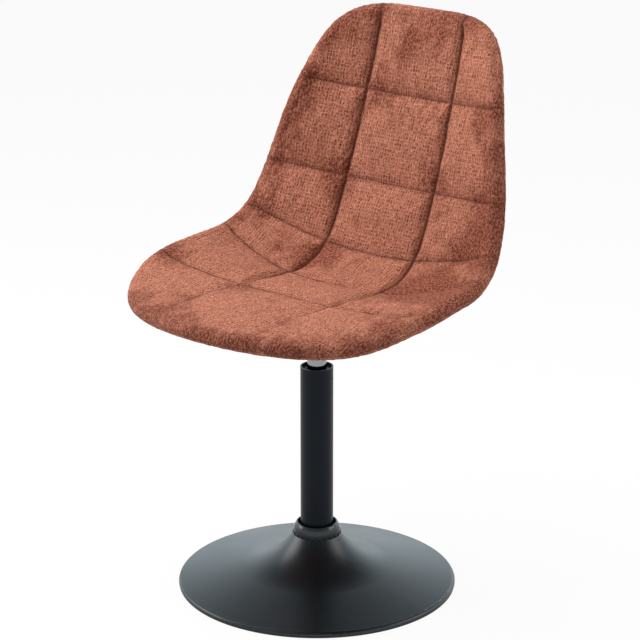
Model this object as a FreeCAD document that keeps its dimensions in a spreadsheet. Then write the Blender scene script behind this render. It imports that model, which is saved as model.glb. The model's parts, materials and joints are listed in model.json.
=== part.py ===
"""Swivel dining chair with a quilted bucket seat on a gas-lift column.

Frame: millimetres, +Z up, the floor at Z = 0 and the column axis through the
origin.  The chair faces -Y, and +X is on the sitter's left.
"""
import FreeCAD
import Part
import Sketcher

import math
import os

DRIVING_SIZES = [
    # Base
    ("dish_diameter", 410, "outside of the trumpet dish"),
    ("dish_sheet", 2, "sheet that the dish is pressed from"),
    ("dish_rim_top", 8, "top of the rolled edge above the floor"),
    ("dish_edge_radius", 5, "roll of the edge"),
    ("dish_slope_rise", 19, "rise of the shallow cone from the edge to the flare"),
    ("flare_diameter", 220, "where the shallow cone turns into the flare"),
    ("flare_radius", 125, "hollow curve between the cone and the neck"),
    ("neck_diameter", 70, "neck of the dish"),
    ("neck_height", 76, "top of the neck above the floor"),
    ("ring_inset", 0.5, "edge ring inside the dish's edge"),
    ("edge_ring_height", 3.5, "soft ring that the dish stands on"),
    ("edge_ring_width", 7, "width of the soft ring on the floor"),
    ("hub_wall", 4, "wall of the welded socket under the neck"),
    ("hub_bottom", 12, "lowest point of the welded socket above the floor"),
    ("brace_sheet", 3, "sheet of the brace disc"),
    ("brace_height", 14, "brace disc above the floor, at the socket"),
    ("brace_hole_diameter", 52, "lightening holes of the brace disc"),
    ("brace_hole_count", 6, "lightening holes of the brace disc"),
    # Column
    ("column_diameter", 48, "outside of the column tube"),
    ("column_wall", 2, "wall of the column tube"),
    ("column_top", 336, "open top of the column tube above the floor"),
    ("column_bottom", 14, "lower end of the column tube above the floor"),
    ("column_fit", 0.05, "radial clearance of the tube in its socket"),
    ("column_floor_sheet", 3, "disc that closes the tube and carries the bearing"),
    ("collar_bottom_diameter", 70, "cover collar at the neck"),
    ("collar_top_diameter", 61, "cover collar at its top"),
    ("collar_height", 18, "height of the cover collar"),
    ("collar_wall", 2, "wall of the cover collar"),
    ("collar_rib_width", 2.2, "ribs that centre the collar on the tube"),
    ("collar_rib_count", 12, "ribs in the collar"),
    ("bush_length", 62, "guide bush in the top of the column"),
    ("bush_recess", 7, "top of the guide bush below the top of the tube"),
    ("bush_sleeve", 2.6, "wall of the bush's inner and outer sleeves"),
    ("bush_rib_width", 3, "ribs between the two sleeves"),
    ("bush_rib_count", 8, "ribs round the bush"),
    ("bush_floor", 6, "solid end of the bush under its pockets"),
    ("lock_hole_diameter", 4, "hole in the tube that locks the bush"),
    ("lock_hole_drop", 17, "lock hole below the top of the tube"),
    ("lock_hole_angle", 22, "direction of the lock hole from +X"),
    # Gas lift
    ("cylinder_diameter", 28, "polished cylinder that slides in the bush"),
    ("cylinder_fit", 0.05, "radial clearance of the cylinder in the bush"),
    ("cylinder_wall", 3, "wall of the cylinder"),
    ("buffer_room", 2, "cylinder above the rubber buffer at rest"),
    ("gland_length", 16, "closed lower end of the cylinder"),
    ("rod_diameter", 10, "piston rod"),
    ("rod_fit", 0.05, "radial clearance of the rod in the gland"),
    ("rod_journal_diameter", 8, "lower end of the rod, in the bearing"),
    ("rod_end_length", 7, "journal below the column's floor disc"),
    ("piston_length", 14, "piston on the rod"),
    ("piston_groove", 1.5, "depth of the groove round the piston"),
    ("piston_fit", 0.06, "radial clearance of the piston in the cylinder"),
    ("travel_spare", 6, "room left over at each end of the travel"),
    ("cone_length", 42, "tapered top of the cylinder"),
    ("cone_top_diameter", 26.2, "small end of the taper"),
    ("race_sheet", 2, "washers of the thrust bearing"),
    ("race_diameter", 26, "outside of the thrust bearing"),
    ("ball_diameter", 4, "balls of the thrust bearing"),
    ("ball_count", 10, "balls of the thrust bearing"),
    ("ball_circle_diameter", 18, "circle that the balls run on"),
    ("cage_sheet", 1.6, "ball cage"),
    ("buffer_diameter", 22, "rubber buffer over the bearing"),
    ("buffer_height", 11, "rubber buffer over the bearing"),
    ("clip_sheet", 1.2, "spring clip on the rod's end"),
    ("clip_diameter", 17, "spring clip on the rod's end"),
    # Plate and lever
    ("plate_top", 427, "top of the seat plate's flange above the floor"),
    ("plate_width", 176, "flange across the chair"),
    ("plate_depth", 160, "flange from front to back"),
    ("plate_sheet", 2.5, "sheet that the seat plate is pressed from"),
    ("plate_corner", 18, "rounded corners of the flange"),
    ("tray_width", 124, "pressed tray across the chair, at the flange"),
    ("tray_depth", 104, "pressed tray from front to back, at the flange"),
    ("tray_draft", 7, "how far each tray wall draws in"),
    ("tray_drop", 26, "depth of the tray below the flange"),
    ("tray_corner", 16, "rounded corners of the tray"),
    ("bolt_spacing_x", 146, "seat bolts across the chair"),
    ("bolt_spacing_y", 126, "seat bolts from front to back"),
    ("bolt_diameter", 6, "seat bolts"),
    ("bolt_clearance", 0.3, "radial clearance of a bolt in its hole"),
    ("bolt_head_diameter", 12, "button heads of the seat bolts"),
    ("bolt_head_height", 3.4, "button heads of the seat bolts"),
    ("socket_wall", 4.5, "wall of the cone socket"),
    ("socket_bottom", 366, "lower end of the cone socket above the floor"),
    ("socket_fit", 0.03, "radial clearance of the cone in its socket"),
    ("lever_diameter", 8, "round bar of the release lever"),
    ("lever_pivot_x", 38, "pivot from the column axis, on the sitter's right"),
    ("pivot_overhang", 2, "pivot pin past its bracket, both ends together"),
    ("lever_pin_diameter", 5, "pivot pin"),
    ("lever_pin_fit", 0.06, "radial clearance of the pin in the lever"),
    ("lever_bend_x", 62, "bend of the lever from the column axis"),
    ("lever_reach", 196, "outer end of the lever from the column axis"),
    ("lever_droop", 15, "outer end of the lever below its pivot"),
    ("lever_bend_radius", 40, "bend of the lever"),
    ("lever_gap", 0.3, "lever above the release pin at rest"),
    ("lever_slot_side", 1.5, "room beside the lever in the tray's wall"),
    ("eye_diameter", 15, "flattened eye of the lever at its pivot"),
    ("eye_width", 9, "eye of the lever along its pin"),
    ("ear_sheet", 3, "cheeks that carry the pivot pin"),
    ("ear_gap", 0.4, "room between the eye and each cheek"),
    ("grip_diameter", 17, "moulded grip of the lever"),
    ("grip_length", 52, "moulded grip of the lever"),
    ("pin_diameter", 7, "release pin in the top of the cylinder"),
    ("pin_fit", 0.05, "radial clearance of the release pin"),
    ("pin_length", 34, "release pin"),
    ("pin_stand", 6, "release pin above the cylinder at rest"),
    # Seat shell and upholstery
    ("seat_front", 246.5, "front of the seat's middle surface ahead of the axis"),
    ("seat_front_height", 447.5, "height of the middle surface at the front"),
    ("seat_length", 277.5, "from the front to the start of the bend"),
    ("seat_fall", 4, "angle that the seat falls to the back"),
    ("front_roll", 9, "extra angle at the rolled front edge"),
    ("front_roll_length", 180, "stretch over which the front edge rolls"),
    ("bend_radius", 123.5, "bend between the seat and the back"),
    ("back_length", 313, "from the bend to the top"),
    ("back_recline", 24.4, "lean of the back from upright"),
    ("back_curl", 9.9, "angle that the back straightens up by at its top"),
    ("half_width_front", 255.5, "half of the width over the front"),
    ("half_width_seat", 245, "half of the width at the seat"),
    ("half_width_bend", 230.5, "half of the width at the bend"),
    ("half_width_waist", 212, "half of the width above the bend"),
    ("half_width_back", 182, "half of the width of the back"),
    ("half_width_top", 132.5, "half of the width at the top"),
    ("wing_front", -30, "rise of the sides at the front edge"),
    ("wing_lip", -10, "rise of the sides behind the front edge"),
    ("wing_seat", 17, "rise of the sides at the seat"),
    ("wing_bend", 39, "rise of the sides at the bend"),
    ("wing_waist", 27.5, "rise of the sides above the bend"),
    ("wing_back", 38.5, "rise of the sides of the back"),
    ("wing_top", 24.5, "rise of the sides at the top"),
    ("front_round_length", 228, "stretch over which the front outline rounds"),
    ("top_round_length", 105, "stretch over which the top outline rounds"),
    ("rim_radius", 13, "round of the upholstered rim"),
    ("shell_thickness", 5.4, "moulded inner shell"),
    ("shell_inset", 11, "edge of the shell inside the rim"),
    ("layer_gap", 0.6, "gap between the shell and the quilted pad"),
    ("cover_gap", 1.8, "gap between the shell and the back cover"),
    ("seam_spacing", 85.5, "long seams from the middle, at the seat"),
    ("seam_spacing_top", 77, "long seams from the middle, at the top"),
    ("seam_depth", 5, "depth of the long sewn channels"),
    ("seam_shoulder", 15, "rounded edge of a panel beside its seam"),
    ("panel_crown", 1.5, "extra crown in the middle of a panel"),
    ("cross_seam_depth", 3.5, "depth of the cross seams"),
    ("boss_diameter", 20, "moulded bosses under the shell"),
    ("boss_clearance", 0.5, "room round a boss in the back cover"),
    ("insert_diameter", 8, "threaded inserts in the bosses"),
    ("insert_length", 9, "threaded inserts in the bosses"),
]

WIDTH_STATIONS = (0.0, 0.22, 0.45, 0.62, 0.80, 1.0)
WING_STATIONS = (0.0, 0.10, 0.22, 0.45, 0.62, 0.80, 1.0)
CROSS_SEAMS = (0.24, 0.38, 0.51, 0.66, 0.84)
STATION_GAP = 20.0
TIP_STATIONS = (0.11, 0.33, 0.64, 1.0)
ROUND_STATIONS = (1.35, 2.1, 3.15)
WING_POWER = 2.5
FRONT_ROUNDNESS = 2.11
TOP_ROUNDNESS = 4.2
PROFILE_STEP = 1.0
BEND_EASE = 0.35

COLLAR_SKIRT_SHARE = 0.3
COLLAR_DOME_SHARE = 1.5
COLLAR_RIB_SHARE = 0.4
LOCK_PIN_SHARE = 0.6
BUFFER_ROUND_SHARE = 0.3
CLIP_SLOT_SHARE = 0.8
GRIP_LIP_SHARE = 0.08
GRIP_NECK_SHARE = 0.8
GRIP_SHOULDER_SHARE = 0.35
GRIP_DOME_SHARE = 0.6
GRIP_END_SHARE = 0.5

SEAM_REACH = 0.8
SHOULDER_REACH = 0.25
SHOULDER_STEEPNESS = 0.45
SHOULDER_MIDDLE = 0.7
SHOULDER_DROP = 0.3
PAD_RIM_START = 0.55
COVER_RIM_START = 0.3
NOTCH_REACH = 0.45
PAD_RIM_ANGLE = 38

UP = FreeCAD.Vector(0, 0, 1)


class Size:
    """A size of the sheet, or a formula of such sizes, with its present value."""

    def __init__(self, text, value):
        self.text = text
        self.value = float(value)

    @staticmethod
    def of(other):
        return other if isinstance(other, Size) else Size(repr(other), other)

    def __add__(self, other):
        other = Size.of(other)
        return Size(f"({self.text} + {other.text})", self.value + other.value)

    def __sub__(self, other):
        other = Size.of(other)
        return Size(f"({self.text} - {other.text})", self.value - other.value)

    def __mul__(self, other):
        other = Size.of(other)
        return Size(f"({self.text} * {other.text})", self.value * other.value)

    def __truediv__(self, other):
        other = Size.of(other)
        return Size(f"({self.text} / {other.text})", self.value / other.value)

    def __neg__(self):
        return Size(f"(0 - {self.text})", -self.value)


class Sizes:
    """The driving sizes, each under its own name."""

    def __init__(self, document):
        sheet = document.addObject("Spreadsheet::Sheet", "Sizes")
        for row, (name, value, meaning) in enumerate(DRIVING_SIZES, start=1):
            sheet.set(f"A{row}", name)
            sheet.set(f"B{row}", str(value))
            sheet.setAlias(f"B{row}", name)
            sheet.set(f"C{row}", meaning)
            setattr(self, name, Size(f"Sizes.{name}", value))


def bind(thing, **formulas):
    """Tie properties of a document object to formulas of the sheet."""
    for name, formula in formulas.items():
        thing.setExpression(name.replace("__", "."), Size.of(formula).text)


def new_body(document, label):
    body = document.addObject("PartDesign::Body", label)
    body.Label = label
    return body


def new_sketch(body, name, role, lift=None):
    """A sketch on one of the body's own planes, lifted along its normal."""
    sketch = body.newObject("Sketcher::SketchObject", name)
    plane = [item for item in body.Origin.OriginFeatures if item.Role == role][0]
    sketch.AttachmentSupport = [(plane, "")]
    sketch.MapMode = "FlatFace"
    if lift is not None:
        sketch.setExpression(".AttachmentOffset.Base.z", Size.of(lift).text)
    return sketch


def place_point(sketch, index, position, x, y):
    """Hold a sketch point at two formulas, measured from the sketch's origin."""
    for kind, axis, value in (("DistanceX", -2, Size.of(x)), ("DistanceY", -1, Size.of(y))):
        if value.value == 0:
            sketch.addConstraint(Sketcher.Constraint("PointOnObject", index, position, axis))
            continue
        row = sketch.addConstraint(
            Sketcher.Constraint(kind, -1, 1, index, position, value.value))
        name = f"{kind}_{index}_{position}"
        sketch.renameConstraint(row, name)
        sketch.setExpression(f"Constraints.{name}", value.text)


def arc_between(start, end, radius, turn):
    """A circular arc from start to end that turns left (1) or right (-1)."""
    chord = end - start
    middle = (start + end) * 0.5
    rise = math.sqrt(max(radius ** 2 - (chord.Length / 2) ** 2, 0))
    side = FreeCAD.Vector(-chord.y, chord.x, 0)
    side.normalize()
    centre = middle + side * (rise * turn)
    first, last = (start, end) if turn > 0 else (end, start)
    start_angle = math.atan2(first.y - centre.y, first.x - centre.x)
    end_angle = math.atan2(last.y - centre.y, last.x - centre.x)
    circle = Part.Circle(centre, UP, radius)
    return Part.ArcOfCircle(circle, start_angle, end_angle)


def outline(sketch, corners, arcs=None):
    """A closed outline through corners; arcs maps an edge to its radius and turn."""
    arcs = arcs or {}
    spots = [FreeCAD.Vector(Size.of(x).value, Size.of(y).value, 0) for x, y in corners]
    ends = []
    for index, start in enumerate(spots):
        end = spots[(index + 1) % len(spots)]
        if index in arcs:
            radius, turn = arcs[index]
            sketch.addGeometry(arc_between(start, end, Size.of(radius).value, turn), False)
            ends.append((1, 2) if turn > 0 else (2, 1))
        else:
            sketch.addGeometry(Part.LineSegment(start, end), False)
            ends.append((1, 2))
    for index in range(len(spots)):
        following = (index + 1) % len(spots)
        sketch.addConstraint(Sketcher.Constraint(
            "Coincident", index, ends[index][1], following, ends[following][0]))
    for index, (x, y) in enumerate(corners):
        place_point(sketch, index, ends[index][0], x, y)
    for index, (radius, turn) in arcs.items():
        row = sketch.addConstraint(
            Sketcher.Constraint("Radius", index, Size.of(radius).value))
        sketch.renameConstraint(row, f"Radius_{index}")
        sketch.setExpression(f"Constraints.Radius_{index}", Size.of(radius).text)


def circle(sketch, x, y, radius):
    """One circle with its centre and radius held by formulas."""
    centre = FreeCAD.Vector(Size.of(x).value, Size.of(y).value, 0)
    index = sketch.addGeometry(Part.Circle(centre, UP, Size.of(radius).value), False)
    place_point(sketch, index, 3, x, y)
    row = sketch.addConstraint(
        Sketcher.Constraint("Radius", index, Size.of(radius).value))
    sketch.renameConstraint(row, f"Radius_{index}")
    sketch.setExpression(f"Constraints.Radius_{index}", Size.of(radius).text)


def rounded_rectangle(sketch, half_x, half_y, corner):
    """A rectangle about the sketch's origin with four round corners."""
    flat_x = half_x - corner
    flat_y = half_y - corner
    corners = [
        (flat_x, -half_y), (half_x, -flat_y), (half_x, flat_y), (flat_x, half_y),
        (-flat_x, half_y), (-half_x, flat_y), (-half_x, -flat_y), (-flat_x, -half_y),
    ]
    outline(sketch, corners, {index: (corner, 1) for index in (0, 2, 4, 6)})


def turned(document, label, corners, arcs=None):
    """A turned piece: its half section, in radius and height, spun about the axis."""
    body = new_body(document, label)
    sketch = new_sketch(body, f"{label}_section", "XZ_Plane")
    outline(sketch, corners, arcs)
    spin = body.newObject("PartDesign::Revolution", f"{label}_spin")
    spin.Profile = (sketch, [""])
    spin.ReferenceAxis = (sketch, ["V_Axis"])
    spin.Angle = 360
    return body


def ring_section(inner, outer, bottom, top):
    return [(inner, bottom), (outer, bottom), (outer, top), (inner, top)]


def pad(body, sketch, name, length, both_ways=False, backwards=False):
    feature = body.newObject("PartDesign::Pad", name)
    feature.Profile = (sketch, [""])
    feature.Midplane = both_ways
    feature.Reversed = backwards
    bind(feature, Length=length)
    return feature


def pocket(body, sketch, name, length, both_ways=False, backwards=False):
    feature = body.newObject("PartDesign::Pocket", name)
    feature.Profile = (sketch, [""])
    feature.Midplane = both_ways
    feature.Reversed = backwards
    bind(feature, Length=length)
    return feature


def repeat_round(body, feature, name, count):
    """The feature repeated round the body's Z axis, as the tip of the body."""
    pattern = body.newObject("PartDesign::PolarPattern", name)
    pattern.Originals = [feature]
    axis = [item for item in body.Origin.OriginFeatures if item.Role == "Z_Axis"][0]
    pattern.Axis = (axis, [""])
    pattern.Angle = 360
    bind(pattern, Occurrences=count)
    body.Tip = pattern
    return pattern


def cylinder(document, label, radius, height, x=0.0, y=0.0, z=0.0):
    """An upright cylinder with its foot at a place given by formulas."""
    piece = document.addObject("Part::Cylinder", label)
    piece.Label = label
    bind(piece, Radius=radius, Height=height)
    bind(piece, Placement__Base__x=x, Placement__Base__y=y, Placement__Base__z=z)
    return piece


def cut(document, label, base, tool):
    piece = document.addObject("Part::Cut", label)
    piece.Label = label
    piece.Base = base
    piece.Tool = tool
    return piece


def fuse(document, label, pieces):
    piece = document.addObject("Part::MultiFuse", label)
    piece.Label = label
    piece.Shapes = pieces
    return piece


def group(document, label, pieces):
    """Separate solids that share one node."""
    piece = document.addObject("Part::Compound", label)
    piece.Label = label
    piece.Links = pieces
    return piece


def build_base(document, s):
    """The trumpet dish, its edge ring, the welded socket and the brace disc."""
    dish_radius = s.dish_diameter / 2
    flat_radius = dish_radius - s.dish_edge_radius
    flare_radius = s.flare_diameter / 2
    neck_radius = s.neck_diameter / 2
    slope_top = s.dish_rim_top + s.dish_slope_rise
    roll_bottom = s.dish_rim_top - s.dish_edge_radius
    sheet_bottom = s.edge_ring_height - 1
    column_radius = s.column_diameter / 2
    hub_bore = column_radius + s.column_fit
    hub_radius = hub_bore + s.hub_wall
    dish = turned(document, "base_dish", [
        (dish_radius, sheet_bottom),
        (dish_radius, roll_bottom),
        (flat_radius, s.dish_rim_top),
        (flare_radius, slope_top),
        (neck_radius, s.neck_height),
        (hub_radius + s.column_fit, s.neck_height),
        (hub_radius + s.column_fit, s.neck_height - s.dish_sheet),
        (neck_radius - s.dish_sheet / 2, s.neck_height - s.dish_sheet),
        (flare_radius, slope_top - s.dish_sheet),
        (flat_radius, s.dish_rim_top - s.dish_sheet),
        (dish_radius - s.dish_sheet, roll_bottom),
        (dish_radius - s.dish_sheet, sheet_bottom),
    ], {
        1: (s.dish_edge_radius, 1),
        3: (s.flare_radius, -1),
        7: (s.flare_radius + s.dish_sheet, 1),
        9: (s.dish_edge_radius - s.dish_sheet, -1),
    })

    ring_inside = dish_radius - s.edge_ring_width
    groove_inside = dish_radius - s.dish_sheet - s.column_fit
    ring = turned(document, "edge_ring", [
        (ring_inside, Size.of(0)),
        (dish_radius - s.ring_inset, Size.of(0)),
        (dish_radius - s.ring_inset, sheet_bottom),
        (groove_inside, sheet_bottom),
        (groove_inside, s.edge_ring_height),
        (ring_inside, s.edge_ring_height),
    ])

    hub = turned(document, "column_socket", [
        (column_radius - s.column_wall * 2, s.hub_bottom),
        (hub_radius, s.hub_bottom),
        (hub_radius, s.neck_height),
        (hub_bore, s.neck_height),
        (hub_bore, s.column_bottom),
        (column_radius - s.column_wall * 2, s.column_bottom),
    ])

    brace_top = s.brace_height + s.brace_sheet
    slope_run = flat_radius - flare_radius
    brace_climb = brace_top - s.dish_rim_top + s.dish_sheet
    brace_radius = flat_radius - brace_climb * slope_run / s.dish_slope_rise - s.layer_gap
    brace = turned(document, "brace_disc", ring_section(
        hub_radius + s.column_fit, brace_radius, s.brace_height, brace_top))
    holes = new_sketch(brace, "brace_hole", "XY_Plane", s.brace_height)
    circle(holes, (hub_radius + brace_radius) / 2, Size.of(0), s.brace_hole_diameter / 2)
    hole = pocket(brace, holes, "brace_hole_cut", s.brace_sheet, backwards=True)
    repeat_round(brace, hole, "brace_holes", s.brace_hole_count)
    return [dish, ring, hub, brace]


def build_column(document, s):
    """The column tube with its floor disc, cover collar, guide bush and lock pin."""
    column_radius = s.column_diameter / 2
    bore = column_radius - s.column_wall
    hub_radius = column_radius + s.column_fit + s.hub_wall
    tube = turned(document, "column_tube", ring_section(
        bore, column_radius, s.column_bottom, s.column_top))
    lock_height = s.column_top - s.lock_hole_drop
    hole_sketch = new_sketch(tube, "lock_hole", "YZ_Plane")
    circle(hole_sketch, Size.of(0), lock_height, s.lock_hole_diameter / 2)
    pocket(tube, hole_sketch, "lock_hole_cut", s.column_diameter, backwards=True)
    bind(tube, Placement__Rotation__Angle=s.lock_hole_angle)

    floor = turned(document, "column_floor", ring_section(
        s.rod_journal_diameter / 2 + s.rod_fit * 4, bore,
        s.column_bottom, s.column_bottom + s.column_floor_sheet))

    collar_bottom = s.neck_height
    collar_top = s.neck_height + s.collar_height
    outer_bottom = s.collar_bottom_diameter / 2
    outer_top = s.collar_top_diameter / 2
    collar = turned(document, "cover_collar", [
        (outer_bottom - s.collar_wall, collar_bottom),
        (outer_bottom, collar_bottom),
        (outer_bottom, collar_bottom + s.collar_height * COLLAR_SKIRT_SHARE),
        (outer_top, collar_top - s.collar_wall / 2),
        (outer_top - s.collar_wall / 2, collar_top),
        (outer_top - s.collar_wall, collar_top),
        (outer_bottom - s.collar_wall, collar_bottom + s.collar_height * COLLAR_SKIRT_SHARE),
    ], {2: (s.collar_height * COLLAR_DOME_SHARE, 1), 3: (s.collar_wall / 2, 1)})
    rib_start = column_radius + s.column_fit
    rib_end = outer_bottom - s.collar_wall / 2
    rib_sketch = new_sketch(collar, "collar_rib", "XY_Plane", s.neck_height)
    half_rib = s.collar_rib_width / 2
    outline(rib_sketch, [
        (rib_start + half_rib, -half_rib), (rib_end, -half_rib),
        (rib_end, half_rib), (rib_start + half_rib, half_rib)])
    rib = pad(collar, rib_sketch, "collar_rib_pad", s.collar_height * COLLAR_RIB_SHARE)
    repeat_round(collar, rib, "collar_ribs", s.collar_rib_count)

    bush_top = s.column_top - s.bush_recess
    bush_bottom = bush_top - s.bush_length
    bush_bore = s.cylinder_diameter / 2 + s.cylinder_fit
    bush_outside = bore - s.column_fit
    pocket_bottom = bush_bottom + s.bush_floor
    bush = turned(document, "guide_bush", [
        (bush_bore, bush_bottom),
        (bush_outside, bush_bottom),
        (bush_outside, bush_top),
        (bush_outside - s.bush_sleeve, bush_top),
        (bush_outside - s.bush_sleeve, pocket_bottom),
        (bush_bore + s.bush_sleeve, pocket_bottom),
        (bush_bore + s.bush_sleeve, bush_top),
        (bush_bore, bush_top),
    ])
    bush_rib = new_sketch(bush, "bush_rib", "XY_Plane", pocket_bottom)
    half_width = s.bush_rib_width / 2
    outline(bush_rib, [
        (bush_bore + s.bush_sleeve / 2, -half_width),
        (bush_outside - s.bush_sleeve / 2, -half_width),
        (bush_outside - s.bush_sleeve / 2, half_width),
        (bush_bore + s.bush_sleeve / 2, half_width)])
    rib = pad(bush, bush_rib, "bush_rib_pad", bush_top - pocket_bottom)
    repeat_round(bush, rib, "bush_ribs", s.bush_rib_count)

    lock = new_body(document, "bush_lock_pin")
    lock_sketch = new_sketch(lock, "lock_pin", "YZ_Plane", bush_outside + s.column_fit)
    circle(lock_sketch, Size.of(0), lock_height, s.lock_hole_diameter / 2 - s.column_fit)
    pad(lock, lock_sketch, "lock_pin_pad", s.column_wall * LOCK_PIN_SHARE)
    bind(lock, Placement__Rotation__Angle=s.lock_hole_angle)
    return [tube, floor, collar, bush, lock]


def build_bearing(document, s):
    """The thrust bearing at the foot of the column and the rod that turns in it."""
    journal = s.rod_journal_diameter / 2
    race_bore = journal + s.rod_fit
    race_radius = s.race_diameter / 2
    floor_top = s.column_bottom + s.column_floor_sheet
    lower_top = floor_top + s.race_sheet
    ball_height = lower_top + s.ball_diameter / 2 + s.rod_fit
    upper_bottom = lower_top + s.ball_diameter + s.rod_fit * 2
    upper_top = upper_bottom + s.race_sheet
    lower = turned(document, "lower_race", ring_section(
        race_bore + s.rod_fit * 4, race_radius, floor_top, lower_top))
    upper = turned(document, "upper_race", ring_section(
        race_bore, race_radius, upper_bottom, upper_top))

    cage = turned(document, "ball_cage", ring_section(
        race_bore + s.rod_fit * 4, race_radius,
        ball_height - s.cage_sheet / 2, ball_height + s.cage_sheet / 2))
    hole_sketch = new_sketch(cage, "cage_hole", "XY_Plane", ball_height - s.cage_sheet / 2)
    ball_circle = s.ball_circle_diameter / 2
    circle(hole_sketch, ball_circle, Size.of(0), s.ball_diameter / 2 + s.rod_fit * 2)
    hole = pocket(cage, hole_sketch, "cage_hole_cut", s.cage_sheet, backwards=True)
    repeat_round(cage, hole, "cage_holes", s.ball_count)

    balls = []
    for index in range(int(s.ball_count.value)):
        ball = document.addObject("Part::Sphere", f"ball_{index + 1}")
        turn = Size(f"({index} * 360 / Sizes.ball_count)", index * 360 / s.ball_count.value)
        bind(ball, Radius=s.ball_diameter / 2)
        ball.setExpression("Placement.Base.x", f"{ball_circle.text} * cos({turn.text})")
        ball.setExpression("Placement.Base.y", f"{ball_circle.text} * sin({turn.text})")
        bind(ball, Placement__Base__z=ball_height)
        balls.append(ball)
    ball_set = group(document, "bearing_balls", balls)

    buffer_top = upper_top + s.buffer_height
    rod_radius = s.rod_diameter / 2
    cushion = turned(document, "rubber_buffer", [
        (rod_radius + s.rod_fit, upper_top),
        (s.buffer_diameter / 2, upper_top),
        (s.buffer_diameter / 2, buffer_top - s.buffer_height * BUFFER_ROUND_SHARE),
        (s.buffer_diameter / 2 - s.buffer_height * BUFFER_ROUND_SHARE, buffer_top),
        (rod_radius + s.rod_fit, buffer_top),
    ], {2: (s.buffer_height * BUFFER_ROUND_SHARE, 1)})

    piston_top = s.socket_bottom - s.travel_spare * 2
    piston_bottom = piston_top - s.piston_length
    bore = s.cylinder_diameter / 2 - s.cylinder_wall
    rod_foot = s.column_bottom - s.rod_end_length
    clip_top = s.column_bottom - s.layer_gap
    clip_bottom = clip_top - s.clip_sheet
    groove = journal - s.clip_sheet / 2
    rod = turned(document, "piston_rod", [
        (Size.of(0), rod_foot),
        (groove, rod_foot),
        (journal, rod_foot + s.clip_sheet / 2),
        (journal, clip_bottom),
        (groove, clip_bottom),
        (groove, clip_top),
        (journal, clip_top),
        (journal, upper_top),
        (rod_radius, upper_top),
        (rod_radius, piston_bottom),
        (Size.of(0), piston_bottom),
    ])
    clip = turned(document, "rod_clip", ring_section(
        groove, s.clip_diameter / 2, clip_bottom, clip_top))
    slot_sketch = new_sketch(clip, "clip_slot", "XY_Plane", clip_bottom)
    half_slot = groove * CLIP_SLOT_SHARE
    outline(slot_sketch, [
        (Size.of(0), -half_slot), (s.clip_diameter, -half_slot),
        (s.clip_diameter, half_slot), (Size.of(0), half_slot)])
    pocket(clip, slot_sketch, "clip_slot_cut", s.clip_sheet, backwards=True)

    piston_radius = bore - s.piston_fit
    third = s.piston_length / 3
    piston = turned(document, "piston", [
        (Size.of(0), piston_bottom),
        (piston_radius, piston_bottom),
        (piston_radius, piston_bottom + third),
        (piston_radius - s.piston_groove, piston_bottom + third),
        (piston_radius - s.piston_groove, piston_top - third),
        (piston_radius, piston_top - third),
        (piston_radius, piston_top),
        (Size.of(0), piston_top),
    ])
    return [lower, cage, ball_set, upper, cushion, rod, clip, piston]


def build_cylinder(document, s):
    """The sliding cylinder, its gland, the cone socket and the release pin."""
    radius = s.cylinder_diameter / 2
    bore = radius - s.cylinder_wall
    buffer_top = (s.column_bottom + s.column_floor_sheet + s.race_sheet * 2
                  + s.ball_diameter + s.rod_fit * 2 + s.buffer_height)
    foot = buffer_top + s.buffer_room
    top = s.socket_bottom + s.cone_length
    cone_top = s.cone_top_diameter / 2
    bore_top = s.socket_bottom - s.travel_spare
    pin_bore = s.pin_diameter / 2 + s.pin_fit
    pin_top = top + s.pin_stand
    pin_bottom = pin_top - s.pin_length
    tube = turned(document, "gas_cylinder", [
        (bore, foot),
        (radius - 1, foot),
        (radius, foot + 1),
        (radius, s.socket_bottom),
        (cone_top, top),
        (pin_bore, top),
        (pin_bore, pin_bottom - s.travel_spare),
        (Size.of(0), pin_bottom - s.travel_spare),
        (Size.of(0), bore_top),
        (bore, bore_top),
    ])
    gland = turned(document, "cylinder_gland", ring_section(
        s.rod_diameter / 2 + s.rod_fit, bore - s.column_fit, foot, foot + s.gland_length))
    pin = turned(document, "release_pin", [
        (Size.of(0), pin_bottom),
        (s.pin_diameter / 2, pin_bottom),
        (s.pin_diameter / 2, pin_top - s.pin_diameter / 2),
        (Size.of(0), pin_top),
    ], {2: (s.pin_diameter / 2, 1)})
    socket = turned(document, "cone_socket", [
        (radius + s.socket_fit, s.socket_bottom),
        (radius + s.socket_fit + s.socket_wall, s.socket_bottom),
        (radius + s.socket_fit + s.socket_wall, top),
        (cone_top + s.socket_fit, top),
    ])
    return [tube, gland, pin, socket]


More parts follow.
